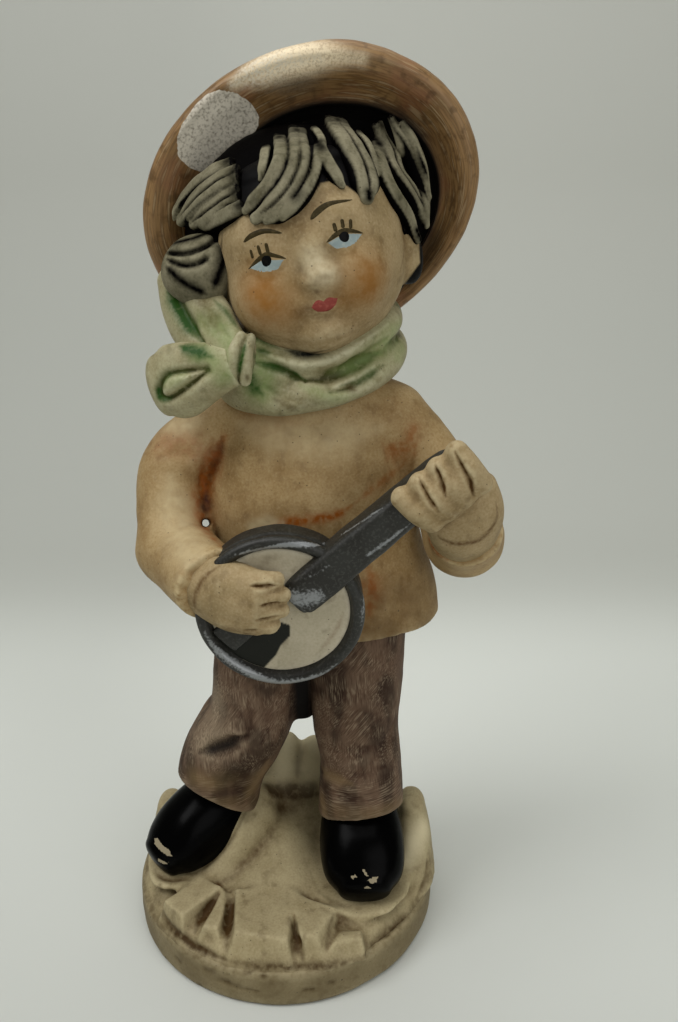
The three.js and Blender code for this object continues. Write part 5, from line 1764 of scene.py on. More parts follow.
@dataclass
class Banjo:
    """The banjo: a round pot with a raised ring, its skin, the neck and the tailpiece.

    In its own frame x runs across, z up and -y out of its face.
    """

    middle: Array = field(default_factory=lambda: POT_MIDDLE)
    radius: float = 16.8
    depth: float = 8.6
    lean: float = 6.0
    ring: float = 2.4
    neck_angle: float = 43.5
    neck_start: float = 4.6
    neck_length: float = 41.4
    neck_widths: Pixel = (8.4, 6.8)
    neck_depth: float = 7.4
    pitch: float = 0.4

    def frame(self) -> Array:
        """The turn from the banjo's own frame to the layout."""
        return turn(ACROSS, self.lean)

    def along(self) -> Array:
        """The neck's direction."""
        angle = math.radians(self.neck_angle)
        return self.frame() @ np.array([math.cos(angle), 0, math.sin(angle)])

    def across(self) -> Array:
        """The direction across the neck, in the plane of the skin."""
        angle = math.radians(self.neck_angle)
        return self.frame() @ np.array([-math.sin(angle), 0, math.cos(angle)])

    def out(self) -> Array:
        """The direction out of the face."""
        return self.frame() @ -BACK

    def turned(self, profile: Sequence[Pixel]) -> Skin:
        """A profile of radius and height out of the face, carried round the pot's middle."""
        radius, out, _, _ = walked(profile, self.pitch)
        angle = circle(int(2 * math.pi * self.radius / self.pitch))
        grid = np.stack([radius * np.cos(angle), -out + 0 * angle, radius * np.sin(angle)], -1)
        return sheet(grid @ self.frame().T + self.middle)

    def pot(self) -> Skin:
        """The pot: a drum with a rounded hoop standing proud of its skin."""
        r, half, inner = self.radius, self.depth / 2, self.radius - self.ring
        skin = self.turned(
            [
                (0, -half), (r - 1.6, -half), (r - 0.7, -half + 0.4), (r - 0.1, -half + 1.3), (r - 0.1, 0.8),
                (r - 0.45, 1.3), (r - 0.4, 1.9), (r + 0.1, 2.4), (r + 0.25, 3.2), (r - 0.1, 4.1),
                (r - 0.9, half + 0.15), (r - 1.7, half), (inner + 0.2, half - 0.6), (inner - 0.2, half - 1.5),
                (inner - 0.5, 2.3), (0, 2.2),
            ]
        )
        skin.relax(1).rough(0.1, 4.0, 51)
        skin.relief(0.08, 0.3)
        SIGHT.mark(skin, [("silver", *row) for row in (
            ([(231, 556), (255, 551), (289, 545), (318, 544), (341, 541)], 0.5, 1.0),
            ([(204, 632), (216, 649), (241, 666), (265, 681), (289, 684), (318, 677), (338, 664)], 1.2, 0.75),
            ([(361, 625), (365, 600), (362, 580)], 0.8, 0.5),
        )])
        return skin

    def drum(self) -> Skin:
        """The skin: a slightly domed disc, with the dark paint that covers its lower side."""
        r = self.radius - self.ring - 0.1
        skin = self.turned([(0, 1.4), (r, 1.4), (r, 2.4), (r - 0.4, 2.9), (r * 0.6, 3.2), (0, 3.35)])
        skin.relax(1).rough(0.06, 4.0, 55)
        skin.relief()
        dark = [
            (196, 600), (205, 640), (234, 639), (242, 636), (265, 631), (277, 621), (290, 625), (290, 636),
            (281, 645), (276, 655), (264, 668), (240, 670), (200, 650),
        ]
        skin.paint["ink"] = SIGHT.patch(skin, dark, 0.8)
        chip = [(231, 639), (240, 640), (235, 645)]
        skin.paint["umber"] = SIGHT.patch(skin, chip, 0.8)
        skin.mark("umber", SIGHT.on(skin, [(316, 655), (335, 632), (344, 612)]), 0.5, 0.35)
        return skin

    def neck(self) -> Skin:
        """The neck: a bar with rounded edges that tapers from the skin to the hand."""
        direction, deep = self.along(), self.neck_depth
        base = self.middle + self.out() * 2.1
        wide, narrow = self.neck_widths
        rings = [
            (*(base + direction * (self.neck_start + reach)), width, share * deep)
            for reach, width, share in (
                (0, wide * 0.78, 0.96), (1.6, wide * 0.98, 1), (8, wide, 1), (24, (wide + narrow) / 2, 1),
                (self.neck_length - 3, narrow, 1), (self.neck_length, narrow * 0.8, 0.9),
            )
        ]
        skin = Loft(rings, across=self.across(), domes=(1.1, 0.8), square=4.2, pitch=0.36).skin()
        skin.relax(1).rough(0.1, 3.0, 57)
        skin.relief(0.08, 0.3)
        SIGHT.mark(skin, [("silver", *row) for row in (
            ([(290, 598), (303, 600), (316, 597)], 2.4, 0.75),
            ([(300, 580), (318, 572), (336, 560)], 0.7, 0.4),
            ([(328, 543), (360, 522), (391, 502)], 0.45, 0.75),
            ([(354, 564), (385, 543), (414, 521)], 0.5, 0.75),
        )])
        return skin

    def tailpiece(self) -> Skin:
        """The small plate on the skin, opposite the neck: a flat rounded bar along its line."""
        direction, out = self.along(), self.out()
        across = np.cross(direction, out)
        base = self.middle + out * 3.3 - across * 3.2
        sizes = ((4.6, 5.2), (8, 6.2), (12.6, 6.4))
        rings = [(*(base - direction * reach), wide, 1.3) for reach, wide in sizes]
        plate = Loft(rings, across=across, domes=(0.6, 0.6), square=4, pitch=0.35)
        return plate.skin().relax(1).relief()

    def dress(self, bench: Workbench) -> None:
        """The four painted pieces of the banjo."""
        bench.place("banjo_pot_painted", self.pot(), PEWTER, "pewter_paint", ["banjo_pot"])
        bench.place("banjo_drumskin_painted", self.drum(), DRUM_SKIN, "drumskin_paint", ["banjo_skin"])
        bench.place("banjo_neck_painted", self.neck(), PEWTER, "pewter_paint", ["banjo_neck"])
        bench.place("banjo_tailpiece_painted", self.tailpiece(), PEWTER, "pewter_paint", ["banjo_tailpiece"])


@dataclass
class Hands:
    """The hands: the right one strums over the pot, and the left one holds the neck's end."""

    banjo: Banjo
    tunic: Tunic
    right_length: float = 14.0
    right_finger: float = 3.7
    left_finger: float = 4.8
    left_grip: float = 0.74 * 41

    def right(self) -> Skin:
        """The right hand: a rounded palm that flattens into four fingers with carved grooves."""
        x, y, z = self.tunic.right.wrist
        cuff, reach = self.tunic.right.cuff, self.right_length
        front = self.banjo.middle[1] - self.banjo.depth / 2 - 3.1
        clay = Clay((x - 12, y - 14, z - 13), (x + 20, y + 8, z + 12), 0.3)
        clay.add(
            Loft(
                [
                    (x - 2.4, y + 2.5, z, cuff * 0.84, cuff * 0.84),
                    (x + reach * 0.3, y - 3, z - 0.9, cuff * 0.96, cuff * 0.66),
                    (x + reach * 0.72, front + 0.2, z - 1.6, cuff * 0.88, cuff * 0.46),
                ],
                across=UP, domes=(0, 2.2), pitch=0.4,
            )
        )
        tips = ((0.4, 3.4), (1.6, 0.2), (1.3, -3.0), (-0.6, -6.0))
        for i, (ahead, rise) in enumerate(tips):
            wide = self.right_finger * (1.08 - 0.06 * i)
            start = (x + reach - 11, front + 0.4, z + rise * 0.7 - 0.4)
            middle = (x + reach - 3, front - 0.2, z + rise)
            end = (x + reach + ahead - 0.9, front + 0.7, z + rise)
            rings = [(*start, wide), (*middle, wide), (*end, wide * 0.86)]
            clay.add(Loft(rings, across=BACK, domes=(1.4, 1.5), pitch=0.35), 1.0)
        skin = clay.skin(2).rough(0.14, 4.0, 61)
        SIGHT.carve(skin, [
            ([(250, 586), (262, 587), (278, 586)], 0.5, 0.9),
            ([(259, 607), (270, 605), (285, 603)], 0.4, 0.6),
            ([(255, 621), (268, 619), (282, 616)], 0.35, 0.45),
            ([(242, 631), (250, 631), (260, 630)], 0.35, 0.4),
        ], 0.3)
        skin.relief(0.09, 0.35)
        SIGHT.mark(skin, [("umber", *row) for row in (
            ([(250, 586), (262, 587), (278, 586)], 0.45, 0.9),
            ([(259, 607), (270, 605), (285, 603)], 0.35, 0.6), ([(255, 621), (282, 616)], 0.3, 0.45),
            ([(242, 631), (260, 630)], 0.3, 0.5),
            ([(220, 565), (204, 578), (195, 596), (194, 610)], 0.6, 0.75),
            ([(215, 625), (248, 634), (262, 632)], 0.8, 0.5),
        )])
        return skin

    def left(self) -> Skin:
        """The left hand: a mitt over the neck's end, its four fingers curled onto the strings."""
        x, y, z = self.tunic.left.wrist
        cuff = self.tunic.left.cuff
        along = self.banjo.along()
        clay = Clay((x - 22, y - 16, z - 12), (x + 12, y + 12, z + 24), 0.3)
        clay.add(
            Loft(
                [
                    (x, y + 2.5, z - 1.5, cuff * 0.9, cuff * 0.88),
                    (x - 0.6, y - 3.5, z + 3.5, cuff * 1.04, cuff * 0.84),
                    (x - 2.8, y - 6.3, z + 9, cuff * 1.04, cuff * 0.64),
                ],
                across=along, domes=(0, 3.5), pitch=0.4,
            )
        )
        for i in range(4):
            reach = self.banjo.neck_start + self.left_grip + i * self.left_finger * 0.92
            tip = self.banjo.middle + along * reach + self.banjo.out() * 5.6 + self.banjo.across() * 2.9
            back = np.array([0.72 - 0.05 * i, 0.1, -0.58 - 0.05 * i]) * 8.5
            middle = tip + back * 0.5 + np.array([0, -1, 0])
            wide = self.left_finger
            rings = [(*(tip + back), wide), (*middle, wide * 1.02), (*tip, wide * 0.88)]
            clay.add(Loft(rings, across=BACK, domes=(1.9, 2.0), pitch=0.35), 1.9)
        skin = clay.skin(2).rough(0.14, 4.0, 67)
        grooves = (
            ([(455, 452), (462, 468), (470, 482), (474, 497)], 0.5, 0.9),
            ([(435, 465), (440, 480), (446, 497)], 0.5, 0.9),
            ([(419, 477), (428, 498), (439, 513)], 0.5, 0.8),
        )
        SIGHT.carve(skin, grooves, 0.3)
        skin.relief(0.09, 0.35)
        SIGHT.mark(skin, [("umber", *row) for row in (
            *((route, 0.4, 0.75) for route, _, _ in grooves),
            ([(496, 502), (497, 518), (488, 533), (478, 541), (460, 544), (444, 540), (430, 529)], 0.6, 0.85),
        )])
        return skin

    def dress(self, bench: Workbench) -> None:
        """Both painted hands."""
        bench.place("right_hand_painted", self.right(), FLESH_PAINT, "flesh_paint", ["right_hand"])
        bench.place("left_hand_painted", self.left(), FLESH_PAINT, "flesh_paint", ["left_hand"])


def place_on_head(x: float, y: float, z: float) -> Array:
    """A place of the tilted head's own frame in the layout."""
    return HEAD_MIDDLE + turn(BACK, -HEAD_ROLL) @ np.array([x, y, z])


@dataclass
class Scarf:
    """The neck scarf: two rolled folds, a knot of two ridges, a bow loop and a leaf-shaped tail."""

    middle: Point = (5.8, -0.8, 145.4)
    width: float = 38.5
    depth: float = 33.0
    fold: float = 9.6
    spacing: float = 6.4
    side_slope: float = 0.17
    back_slope: float = 0.26

    def hoop(self, level: int) -> Skin:
        """One fold: an oval hoop whose section is an oval too, sloping to the back."""
        wider = level * 2.2
        x0, y0, z0 = self.middle
        a = (self.width - self.fold + wider) / 2
        b = (self.depth - self.fold + wider) / 2
        around = circle(260)[:, None]
        about = circle(60)[None]
        reach = self.fold / 2 * np.cos(about)
        x = (a + reach) * np.cos(around)
        y = (b + reach) * np.sin(around)
        z = self.side_slope * x + self.back_slope * y + self.fold * 0.43 * np.sin(about)
        grid = np.stack([x0 + x, y0 + y, z0 - level * self.spacing + z], -1)
        return sheet(grid, wrap=True)

    def folds(self) -> Skin:
        """Both folds in one, with the cloth's ridges and the grooves between them."""
        clay = Clay((-22, -26, 124), (34, 22, 158), 0.38)
        bulge = ball(SIGHT.at((250, 362), -11.0), (15, 12, 13))
        clay.add(self.hoop(0)).add(self.hoop(1), 1.6).add(bulge, 4.0)
        skin = clay.skin(2).rough(0.22, 6.0, 71)
        SIGHT.carve(skin, [
            ([(255, 363), (275, 368), (290, 375), (305, 381)], 0.8, 1.0),
            ([(305, 381), (330, 378), (356, 366), (380, 352)], 1.4, 1.0),
            ([(330, 393), (352, 388), (370, 377), (384, 365)], 1.1, 1.2),
            ([(340, 368), (365, 356), (388, 338)], 1.5, 0.9),
            ([(262, 384), (280, 396), (300, 402)], 1.0, 0.3),
            ([(257, 350), (285, 361), (314, 364), (350, 350), (388, 324)], 1.0, -0.7),
            ([(386, 345), (398, 338), (406, 330)], 1.0, 0.4),
        ])
        skin.relief(0.1, 0.4)
        SIGHT.mark(skin, [
            ("green", [(252, 362), (275, 367), (292, 374), (305, 380)], 0.9, 1.0),
            ("green", [(256, 350), (272, 352)], 0.8, 0.7),
            ("mint", [(300, 385), (330, 398), (360, 396)], 1.6, 0.5),
            ("green", [(250, 370), (252, 385), (262, 394)], 1.5, 0.8),
            ("green", [(340, 386), (356, 383), (370, 375), (380, 366)], 0.7, 0.7),
            ("mint", [(252, 352), (262, 372), (258, 392)], 3.0, 0.9),
            ("mint", [(330, 372), (360, 362), (388, 340), (402, 322)], 3.0, 0.75),
            ("mint", [(395, 360), (404, 340)], 2.5, 0.6), ("green", [(403, 300), (403, 310)], 1.4, 0.8),
            ("umber", [(350, 387), (353, 389)], 0.8, 1.0),
            ("umber", [(342, 415), (366, 408), (385, 396)], 0.4, 0.5),
            ("umber", [(272, 398), (300, 412)], 0.8, 0.7),
            ("umber", [(320, 414), (345, 415), (372, 404)], 1.4, 0.6),
            ("umber", [(286, 398), (305, 400), (326, 403)], 1.2, 0.4),
            # Painted shadow of the chin on the fold.
            ("ink", [(286, 350), (306, 354), (332, 349)], 1.0, 1.0),
            ("green", [(247, 332), (262, 341), (280, 349)], 0.8, 0.6),
        ])
        return skin

    def knot(self) -> Skin:
        """The knot: two upright ridges side by side on a pinched pad of cloth."""
        x, y, z = KNOT
        clay = Clay((x - 10, y - 8, z - 12), (x + 12, y + 12, z + 12), 0.3)
        clay.add(ball(SIGHT.at((240, 359), y + 4.1), (8.0, 6, 10.5), pitch=0.4))
        ridges = (
            (
                ((241, 337), 1.6, 2.2), ((235, 350), 0.7, 2.7),
                ((232, 364), 0.6, 2.9), ((230, 380), 1.4, 2.6),
            ),
            (
                ((251, 339), 1.6, 2.0), ((247.5, 351), 0.7, 2.4),
                ((246, 365), 0.6, 2.6), ((245.5, 380), 1.4, 2.4),
            ),
        )
        for ridge in ridges:
            rings = [(*SIGHT.at(pixel, y + out), wide, wide * 1.25) for pixel, out, wide in ridge]
            clay.add(Loft(rings, domes=(1.2, 1.2), pitch=0.35), 0.6)
        skin = clay.skin(1).rough(0.1, 3.0, 75)
        skin.relief(0.1, 0.35)
        SIGHT.mark(skin, [
            ("green", [(246, 340), (241.5, 358), (238, 380)], 0.55, 1.0),
            ("green", [(225, 352), (223, 368), (224, 380)], 0.8, 0.7),
            ("green", [(256, 348), (257, 364), (254, 378)], 0.7, 0.8),
            ("mint", [(226, 345), (222, 378)], 1.3, 0.8), ("umber", [(247, 377), (248, 379)], 0.5, 0.8),
        ])
        return skin

    def bow(self) -> Skin:
        """The bow loop: a flat teardrop pillow whose groove outlines the loop's opening."""
        x, y, z = KNOT
        clay = Clay((x - 26, y - 6, z - 18), (x + 6, y + 16, z + 10), 0.34)
        rings = [
            (x - 0.5, y + 1.8, z - 0.4, 8.4, 6), (x - 6.5, y + 3.0, z - 2.2, 12.4, 7.0),
            (x - 12.0, y + 4.8, z - 4.4, 15.0, 7), (x - 15.2, y + 5.8, z - 5.4, 12.6, 6),
        ]
        clay.add(Loft(rings, across=UP, domes=(0, 3.0), pitch=0.4))
        skin = clay.skin(1).rough(0.16, 5.0, 77)
        loop = [
            (206, 369), (186, 371), (166, 375), (159, 386), (161, 397), (170, 398), (188, 386), (207, 371),
        ]
        skin.carve(SIGHT.on(skin, loop, 80), 0.8, 1.1, 0)
        skin.carve(SIGHT.on(skin, [(180, 380), (170, 388)]), 1.8, -0.5)
        skin.relief(0.1, 0.4)
        SIGHT.mark(skin, [
            ("green", [(184, 371), (168, 375), (160, 385), (160, 397), (168, 399), (176, 394)], 0.75, 0.95),
            ("green", [(180, 346), (192, 350), (212, 357)], 1.5, 0.95),
            ("mint", [(200, 352), (212, 362), (224, 376)], 2.4, 0.8),
            ("mint", [(165, 382), (180, 378)], 2.0, 0.5),
        ])
        return skin

    def tail(self) -> Skin:
        """The tail: a leaf that rises from the knot behind the bun, with a deep fold."""
        x, y, z = KNOT
        clay = Clay((x - 26, y - 6, z - 6), (x + 8, y + 22, z + 28), 0.34)
        rings = [
            (x - 0.2, y + 2.2, z + 1.0, 8.4, 5.4), (x - 5.5, y + 5.6, z + 4.8, 13.4, 6.4),
            (x - 9.9, y + 10.2, z + 10.4, 13.0, 6.0), (x - 12.8, y + 13.6, z + 15.8, 9.4, 5.0),
        ]
        clay.add(Loft(rings, across=np.array([0.6, 0, 0.8]), domes=(0, 2.4), pitch=0.4))
        skin = clay.skin(1).rough(0.16, 5.0, 79)
        SIGHT.carve(skin, [
            ([(167, 277), (176, 300), (189, 324), (203, 342)], 1.4, 1.5),
            ([(212, 310), (222, 324), (230, 338)], 1.2, 0.5),
            ([(176, 272), (196, 300), (212, 330)], 1.3, -0.4),
        ])
        skin.relief(0.1, 0.4)
        SIGHT.mark(skin, [
            ("green", [(168, 280), (175, 302), (188, 324), (202, 341)], 1.7, 1.0),
            ("umber", [(196, 286), (206, 310), (219, 332)], 1.6, 0.6),
            ("mint", [(206, 320), (220, 330), (230, 342)], 2.6, 0.8),
            ("green", [(214, 300), (228, 314), (238, 328)], 0.8, 0.6),
            ("green", [(222, 352), (205, 350), (185, 344)], 0.7, 0.6),
        ])
        return skin

    def dress(self, bench: Workbench) -> None:
        """The four glazed pieces of the scarf."""
        for name, skin, nodes in (
            ("scarf_folds_glazed", self.folds(), ["scarf_upper_fold", "scarf_lower_fold"]),
            ("scarf_knot_glazed", self.knot(), ["scarf_knot"]),
            ("scarf_bow_loop_glazed", self.bow(), ["scarf_bow_loop"]),
            ("scarf_tail_glazed", self.tail(), ["scarf_tail"]),
        ):
            bench.place(name, skin, SCARF_GLAZE, "scarf_paint", nodes)


@dataclass(frozen=True)
class Stroke:
    """One brush stroke of the face: its route in pixels, its widths in millimetres, its paint."""

    name: str
    route: tuple[Pixel, ...]
    widths: tuple[float, ...]
    paint: BrushStroke
    lift: float = 0.10


# The face is painted in the plain manner of any china doll
STROKES = (
    Stroke(
        "right_eye_blue", ((249.5, 268), (257, 267), (266, 266), (275, 264.3), (284, 259.6)),
        (0.3, 2.1, 3.5, 2.6, 0.3), EYE_BLUE, 0.05
    ),
    Stroke(
        "left_eye_blue", ((328, 243), (336, 243), (345, 241), (354, 238), (362, 234)),
        (0.3, 2.6, 3.6, 2.6, 0.3), EYE_BLUE, 0.05
    ),
    Stroke(
        "right_eye_lid", ((248.5, 269), (257, 261), (266, 254.5), (276, 256), (286, 258.5)),
        (0.5, 0.95, 1.0, 0.8, 0.45), OLIVE, 0.13
    ),
    Stroke(
        "left_eye_lid", ((326.5, 242.5), (335.5, 235), (344, 230.6), (353.5, 231), (363, 233)),
        (0.5, 1.0, 1.0, 0.8, 0.45), OLIVE, 0.13
    ),
    Stroke(
        "right_brow", ((243.6, 242), (251.7, 235.4), (265, 231), (282, 233)),
        (0.9, 1.25, 1.05, 0.55), OLIVE, 0.14
    ),
    Stroke(
        "left_brow", ((310.5, 219.5), (318.6, 210.5), (330.5, 203.2), (352, 199.7)),
        (0.95, 1.35, 1.1, 0.55), OLIVE, 0.14
    ),
    Stroke("right_lash_1", ((250.3, 249.7), (252.8, 258.4)), (0.85, 0.95), OLIVE, 0.14),
    Stroke("right_lash_2", ((257.6, 245.3), (260.6, 255)), (0.9, 0.95), OLIVE, 0.14),
    Stroke("right_lash_3", ((265.7, 243), (268.3, 253.5)), (0.9, 0.95), OLIVE, 0.14),
    Stroke("left_lash_1", ((333.7, 223), (336, 231.5)), (0.85, 0.95), OLIVE, 0.14),
    Stroke("left_lash_2", ((341.9, 219), (343.3, 228)), (0.9, 0.95), OLIVE, 0.14),
    Stroke("left_lash_3", ((350.6, 219), (350.8, 228.5)), (0.9, 0.95), OLIVE, 0.14),
    Stroke(
        "lips_lower", ((311.5, 307.3), (317, 307.6), (325, 306.9), (332, 303.2), (337.5, 298)),
        (0.5, 1.9, 2.3, 2.1, 0.4), LIP_RED, 0.12
    ),
    Stroke(
        "lips_upper", ((312.5, 305.8), (318.4, 302.9), (323.8, 303.4), (329, 300.2), (336, 298.4)),
        (0.4, 1.2, 0.9, 1.2, 0.4), LIP_RED, 0.13
    ),
)
# The pupils: middle pixel and radius in millimetres
PUPILS = (("right_pupil", (266.2, 260.2), 1.22), ("left_pupil", (344.2, 236.2), 1.15))


@dataclass
class Head:
    """The head: round cheeks, a button nose, a small chin and an ear, with its painted face."""

    width: float = 38.0
    depth: float = 37.0
    height: float = 41.0
    neck: float = 22.0

    def skull(self) -> Loft:
        """The head as level sections, in its own frame."""
        stations = (
            (-0.43, 0.42, 0.46, -3.4), (-0.32, 0.75, 0.78, -1.8), (-0.16, 0.95, 0.95, -0.6),
            (0.02, 0.99, 1, 0), (0.2, 0.95, 0.97, 0.3), (0.38, 0.7, 0.74, 0.6),
        )
        rings = []
        for share, wide, deep, y in stations:
            x = 0.4 + 2.6 * min(share + 0.02, 0)
            rings.append((x, y, share * self.height, wide * self.width, deep * self.depth))
        return Loft(rings, level=True, domes=(0.06 * self.height, 0.12 * self.height), pitch=0.5)

    def build(self) -> Skin:
        """Skull, neck and features pressed together, with blush, painted shade and a painted highlight."""
        face = self.skull().skin()
        face.points = face.points @ turn(BACK, -HEAD_ROLL).T + HEAD_MIDDLE
        clay = Clay((-18, -28, 136), (30, 20, 186), 0.36).add(face)
        x, y = HEAD_MIDDLE[0], HEAD_MIDDLE[1] + 3
        clay.add(Loft([(x, y, COLLAR_Z + 0.3, self.neck), (x, y, 150, self.neck)], level=True), 2.0)
        for spot, size, fillet in (
            ((-8.4, -11.6, -5.6), (13, 12.5, 11.5), 4.5),
            ((7.4, -12.0, -5.2), (11.5, 12, 11), 4.5),
            ((1.9, -18.4, -3.3), (6.0, 5.2, 4.6), 2.0),
            ((1.4, -17.3, 0.6), (4.0, 4.4, 7.0), 2.6),
            ((0.2, -15.8, -7.8), (7.0, 5, 5.0), 2.6),
            ((0.2, -13.6, -13.6), (9.5, 8, 6.0), 3.0),
        ):
            clay.add(ball(place_on_head(*spot), size, turn(BACK, -HEAD_ROLL), 0.4), fillet)
        clay.add(ball(EAR, (6.4, 8.5, 12.5), turn(BACK, -HEAD_ROLL), 0.4), 2.2)
        skin = clay.skin(2).rough(0.14, 6.0, 81).rough(0.04, 2.0, 82)
        SIGHT.carve(skin, [
            ([(249, 272), (266, 279), (287, 264)], 1.6, 0.25),
            ([(326, 246), (345, 253), (364, 238)], 1.6, 0.25),
            ([(298, 262), (302, 274), (310, 279)], 1.0, 0.25),
            ([(254, 334), (280, 342), (306, 345), (332, 342), (356, 332)], 1.2, 0.22),
            ([(310, 313), (325, 317), (338, 309)], 1.3, 0.3),
            ([(316, 279), (324, 280), (332, 275)], 0.9, 0.25),
        ])
        skin.relief(0.1, 0.4)
        # Blush is paint. The pale mark is a painted highlight on the nose. The brown marks are painted shade
        # under the locks, under the nose, at the mouth and along the edge by the ear; the black ones are
        # painted shadow under the chin and painted shade along the edge by the bun.
        SIGHT.mark(skin, [
            ("blush", [(262, 296), (268, 303)], 5.6, 0.85), ("blush", [(370, 279), (365, 286)], 5.2, 0.8),
            ("umber", [(250, 228), (285, 226), (304, 215), (324, 192)], 2.4, 0.5),
            ("blush", [(232, 320), (250, 334)], 3.0, 0.3), ("blush", [(345, 300), (352, 296)], 3.0, 0.45),
            ("pale", [(314, 262), (326, 273)], 2.6, 0.7),
            ("umber", [(312, 279), (321, 281), (332, 276)], 1.1, 0.45),
            ("umber", [(300, 312), (309, 308)], 1.0, 0.6), ("umber", [(317, 291), (318, 292)], 0.5, 0.8),
            ("ink", [(250, 342), (285, 350), (307, 354), (330, 350)], 0.8, 0.8),
            ("ink", [(222, 234), (219, 262), (215, 286), (218, 306)], 0.8, 0.85),
            ("umber", [(310, 300), (316, 297)], 0.8, 0.25),
            ("umber", [(398, 212), (404, 232), (406, 250), (400, 272)], 0.7, 0.5),
        ])
        hairline = [
            (212, 232), (225, 224), (248, 214), (251, 222), (268, 223), (284, 219), (298, 213), (311, 198),
            (321, 183), (330, 181), (344, 184), (358, 194), (364, 201), (373, 199), (376, 184), (381, 176),
            (391, 191), (402, 209), (411, 231), (419, 242), (420, 263), (403, 286), (401, 300), (460, 300),
            (460, 90), (180, 90),
        ]
        ink = SIGHT.patch(skin, hairline, 1.2)
        behind = ease((skin.points[:, 1] - HEAD_MIDDLE[1] - 5) / 5)
        by_ear = ease(1.6 - np.linalg.norm((skin.points - EAR) / (4.0, 4.6, 7.0), axis=1))
        ink = np.maximum(ink, behind * (1 - by_ear))
        skin.paint["ink"] = np.maximum(skin.paint["ink"], ink)
        return skin

    def stroke(self, skin: Skin, stroke: Stroke) -> Skin:
        """A brush stroke as a thin raised ribbon on the face.

        Along the route, each section runs from edge to edge and rises by lift * (1 - s2), with
        the edges just below the surface, where s is the share of the half width.

        Args:
            skin: The head's surface.
            stroke: The stroke.

        Returns:
            The ribbon, closed below.
        """
        count, sides = 26, 9
        path = SIGHT.on(skin, stroke.route, count)
        eye = np.array(SIGHT.eye)
        forward = unit(np.gradient(path, axis=0))
        across = unit(np.cross(forward, unit(path - eye)))
        ends = np.sqrt(np.clip(1 - np.linspace(-1, 1, count) ** 6, 0.02, 1))
        half = spline([[w] for w in stroke.widths], count)[:, 0] / 2 * ends
        s = np.linspace(-1, 1, sides)
        flat = path[:, None] + across[:, None] * (half[:, None] * s)[..., None]
        lift = stroke.lift * (1 - s**2) - 0.03
        over = skin.project(flat.reshape(-1, 3), np.tile(lift, count)).reshape(count, sides, 3)
        under = skin.project(flat[:, 1:-1].reshape(-1, 3), np.full(count * (sides - 2), -0.12))
        under = under.reshape(count, sides - 2, 3)[:, ::-1]
        rings = np.concatenate([over, under], axis=1)
        first, last = (np.repeat(rings[i].mean(0)[None, None], rings.shape[1], 1) for i in (0, -1))
        return sheet(np.concatenate([first, rings, last]))

    def pupil(self, skin: Skin, pixel: Pixel, radius: float) -> Skin:
        """A pupil: a round blob of paint on the face, thin at its edge.

        Its upper half rises by 0.16 * (1 - s2) over the surface at the share s of the radius,
        and its lower half lies just inside the clay.

        Args:
            skin: The head's surface.
            pixel: The pupil's middle.
            radius: Its radius.

        Returns:
            The blob, closed below.
        """
        middle = SIGHT.on(skin, [pixel])[0]
        way = unit(middle - np.array(SIGHT.eye))
        side = unit(np.cross(way, UP))
        rise = np.cross(side, way)
        share = np.array([0, 0.25, 0.5, 0.75, 0.92, 1.0, 0.85, 0.5, 0])[:, None]
        lift = np.array([0.16, 0.15, 0.12, 0.07, 0.02, -0.04, -0.12, -0.12, -0.12])[:, None]
        angle = circle(40)
        spread = radius * share[..., None] * (np.cos(angle)[:, None] * side + np.sin(angle)[:, None] * rise)
        flat = (middle + spread).reshape(-1, 3)
        return sheet(skin.project(flat, (lift + 0 * angle).ravel()).reshape(len(share), len(angle), 3))

    def dress(self, bench: Workbench) -> Skin:
        """The painted head and the strokes of its face."""
        skin = self.build()
        bench.place("head_painted", skin, FLESH_PAINT, "flesh_paint", ["head", "ear"])
        for stroke in STROKES:
            bench.place(stroke.name, self.stroke(skin, stroke), stroke.paint, "flesh_paint")
        for name, pixel, radius in PUPILS:
            bench.place(name, self.pupil(skin, pixel, radius), INK, "flesh_paint")
        return skin


@dataclass(frozen=True)
class Lock:
    """A lock of hair: its route in pixels over the hair beneath, its width and thickness."""

    route: tuple[Pixel, ...]
    width: float
    thick: float = 3.0
    dark_tip: bool = False

    def lines(self) -> tuple[float, ...]:
        """Where grooves part the lock, as shares of its half width."""
        return (-0.1,) if self.width > 3.7 else ()


LOCKS = (
    Lock(((234, 164), (216, 176), (194, 194), (175, 217)), 3.2),
    Lock(((240, 174), (222, 187), (202, 203), (184, 222)), 4.4, 3.4),
    Lock(((240, 193), (227, 204), (211, 215), (196, 225)), 4.0, 3.2),
    Lock(((244, 206), (233, 215), (221, 222), (208, 228)), 2.8),
    Lock(((267, 149), (266, 163), (262, 180)), 2.0, 2.6),
    Lock(((280, 138), (282, 161), (273, 184), (258, 201), (247, 212)), 2.8),
    Lock(((297, 131), (300, 161), (293, 185), (278, 204), (256, 220)), 3.8, 3.4),
    Lock(((318, 147), (317, 167), (310, 188), (298, 206), (284, 219)), 1.9, 2.8),
    Lock(((300, 198), (286, 212), (268, 222)), 2.4, 2.6),
    Lock(((320, 150), (330, 170), (341, 186)), 2.5, 2.4),
    Lock(((314, 130), (324, 150)), 1.6, 2.2),
    Lock(((334, 123), (350, 154), (362, 179), (366, 201)), 4.9, 3.6, True),
    Lock(((357, 134), (369, 156), (375, 178)), 1.6, 2.6),
    Lock(((375, 145), (379, 170), (389, 194), (402, 214), (415, 240)), 2.9, 3.0, True),
    Lock(((376, 126), (384, 150), (393, 174), (407, 194), (422, 219)), 4.1, 3.2),
    Lock(((389, 119), (402, 146), (412, 172), (421, 200), (424, 226)), 3.0, 3.0),
    Lock(((401, 124), (412, 148), (420, 174), (426, 198)), 2.2, 2.8),
)


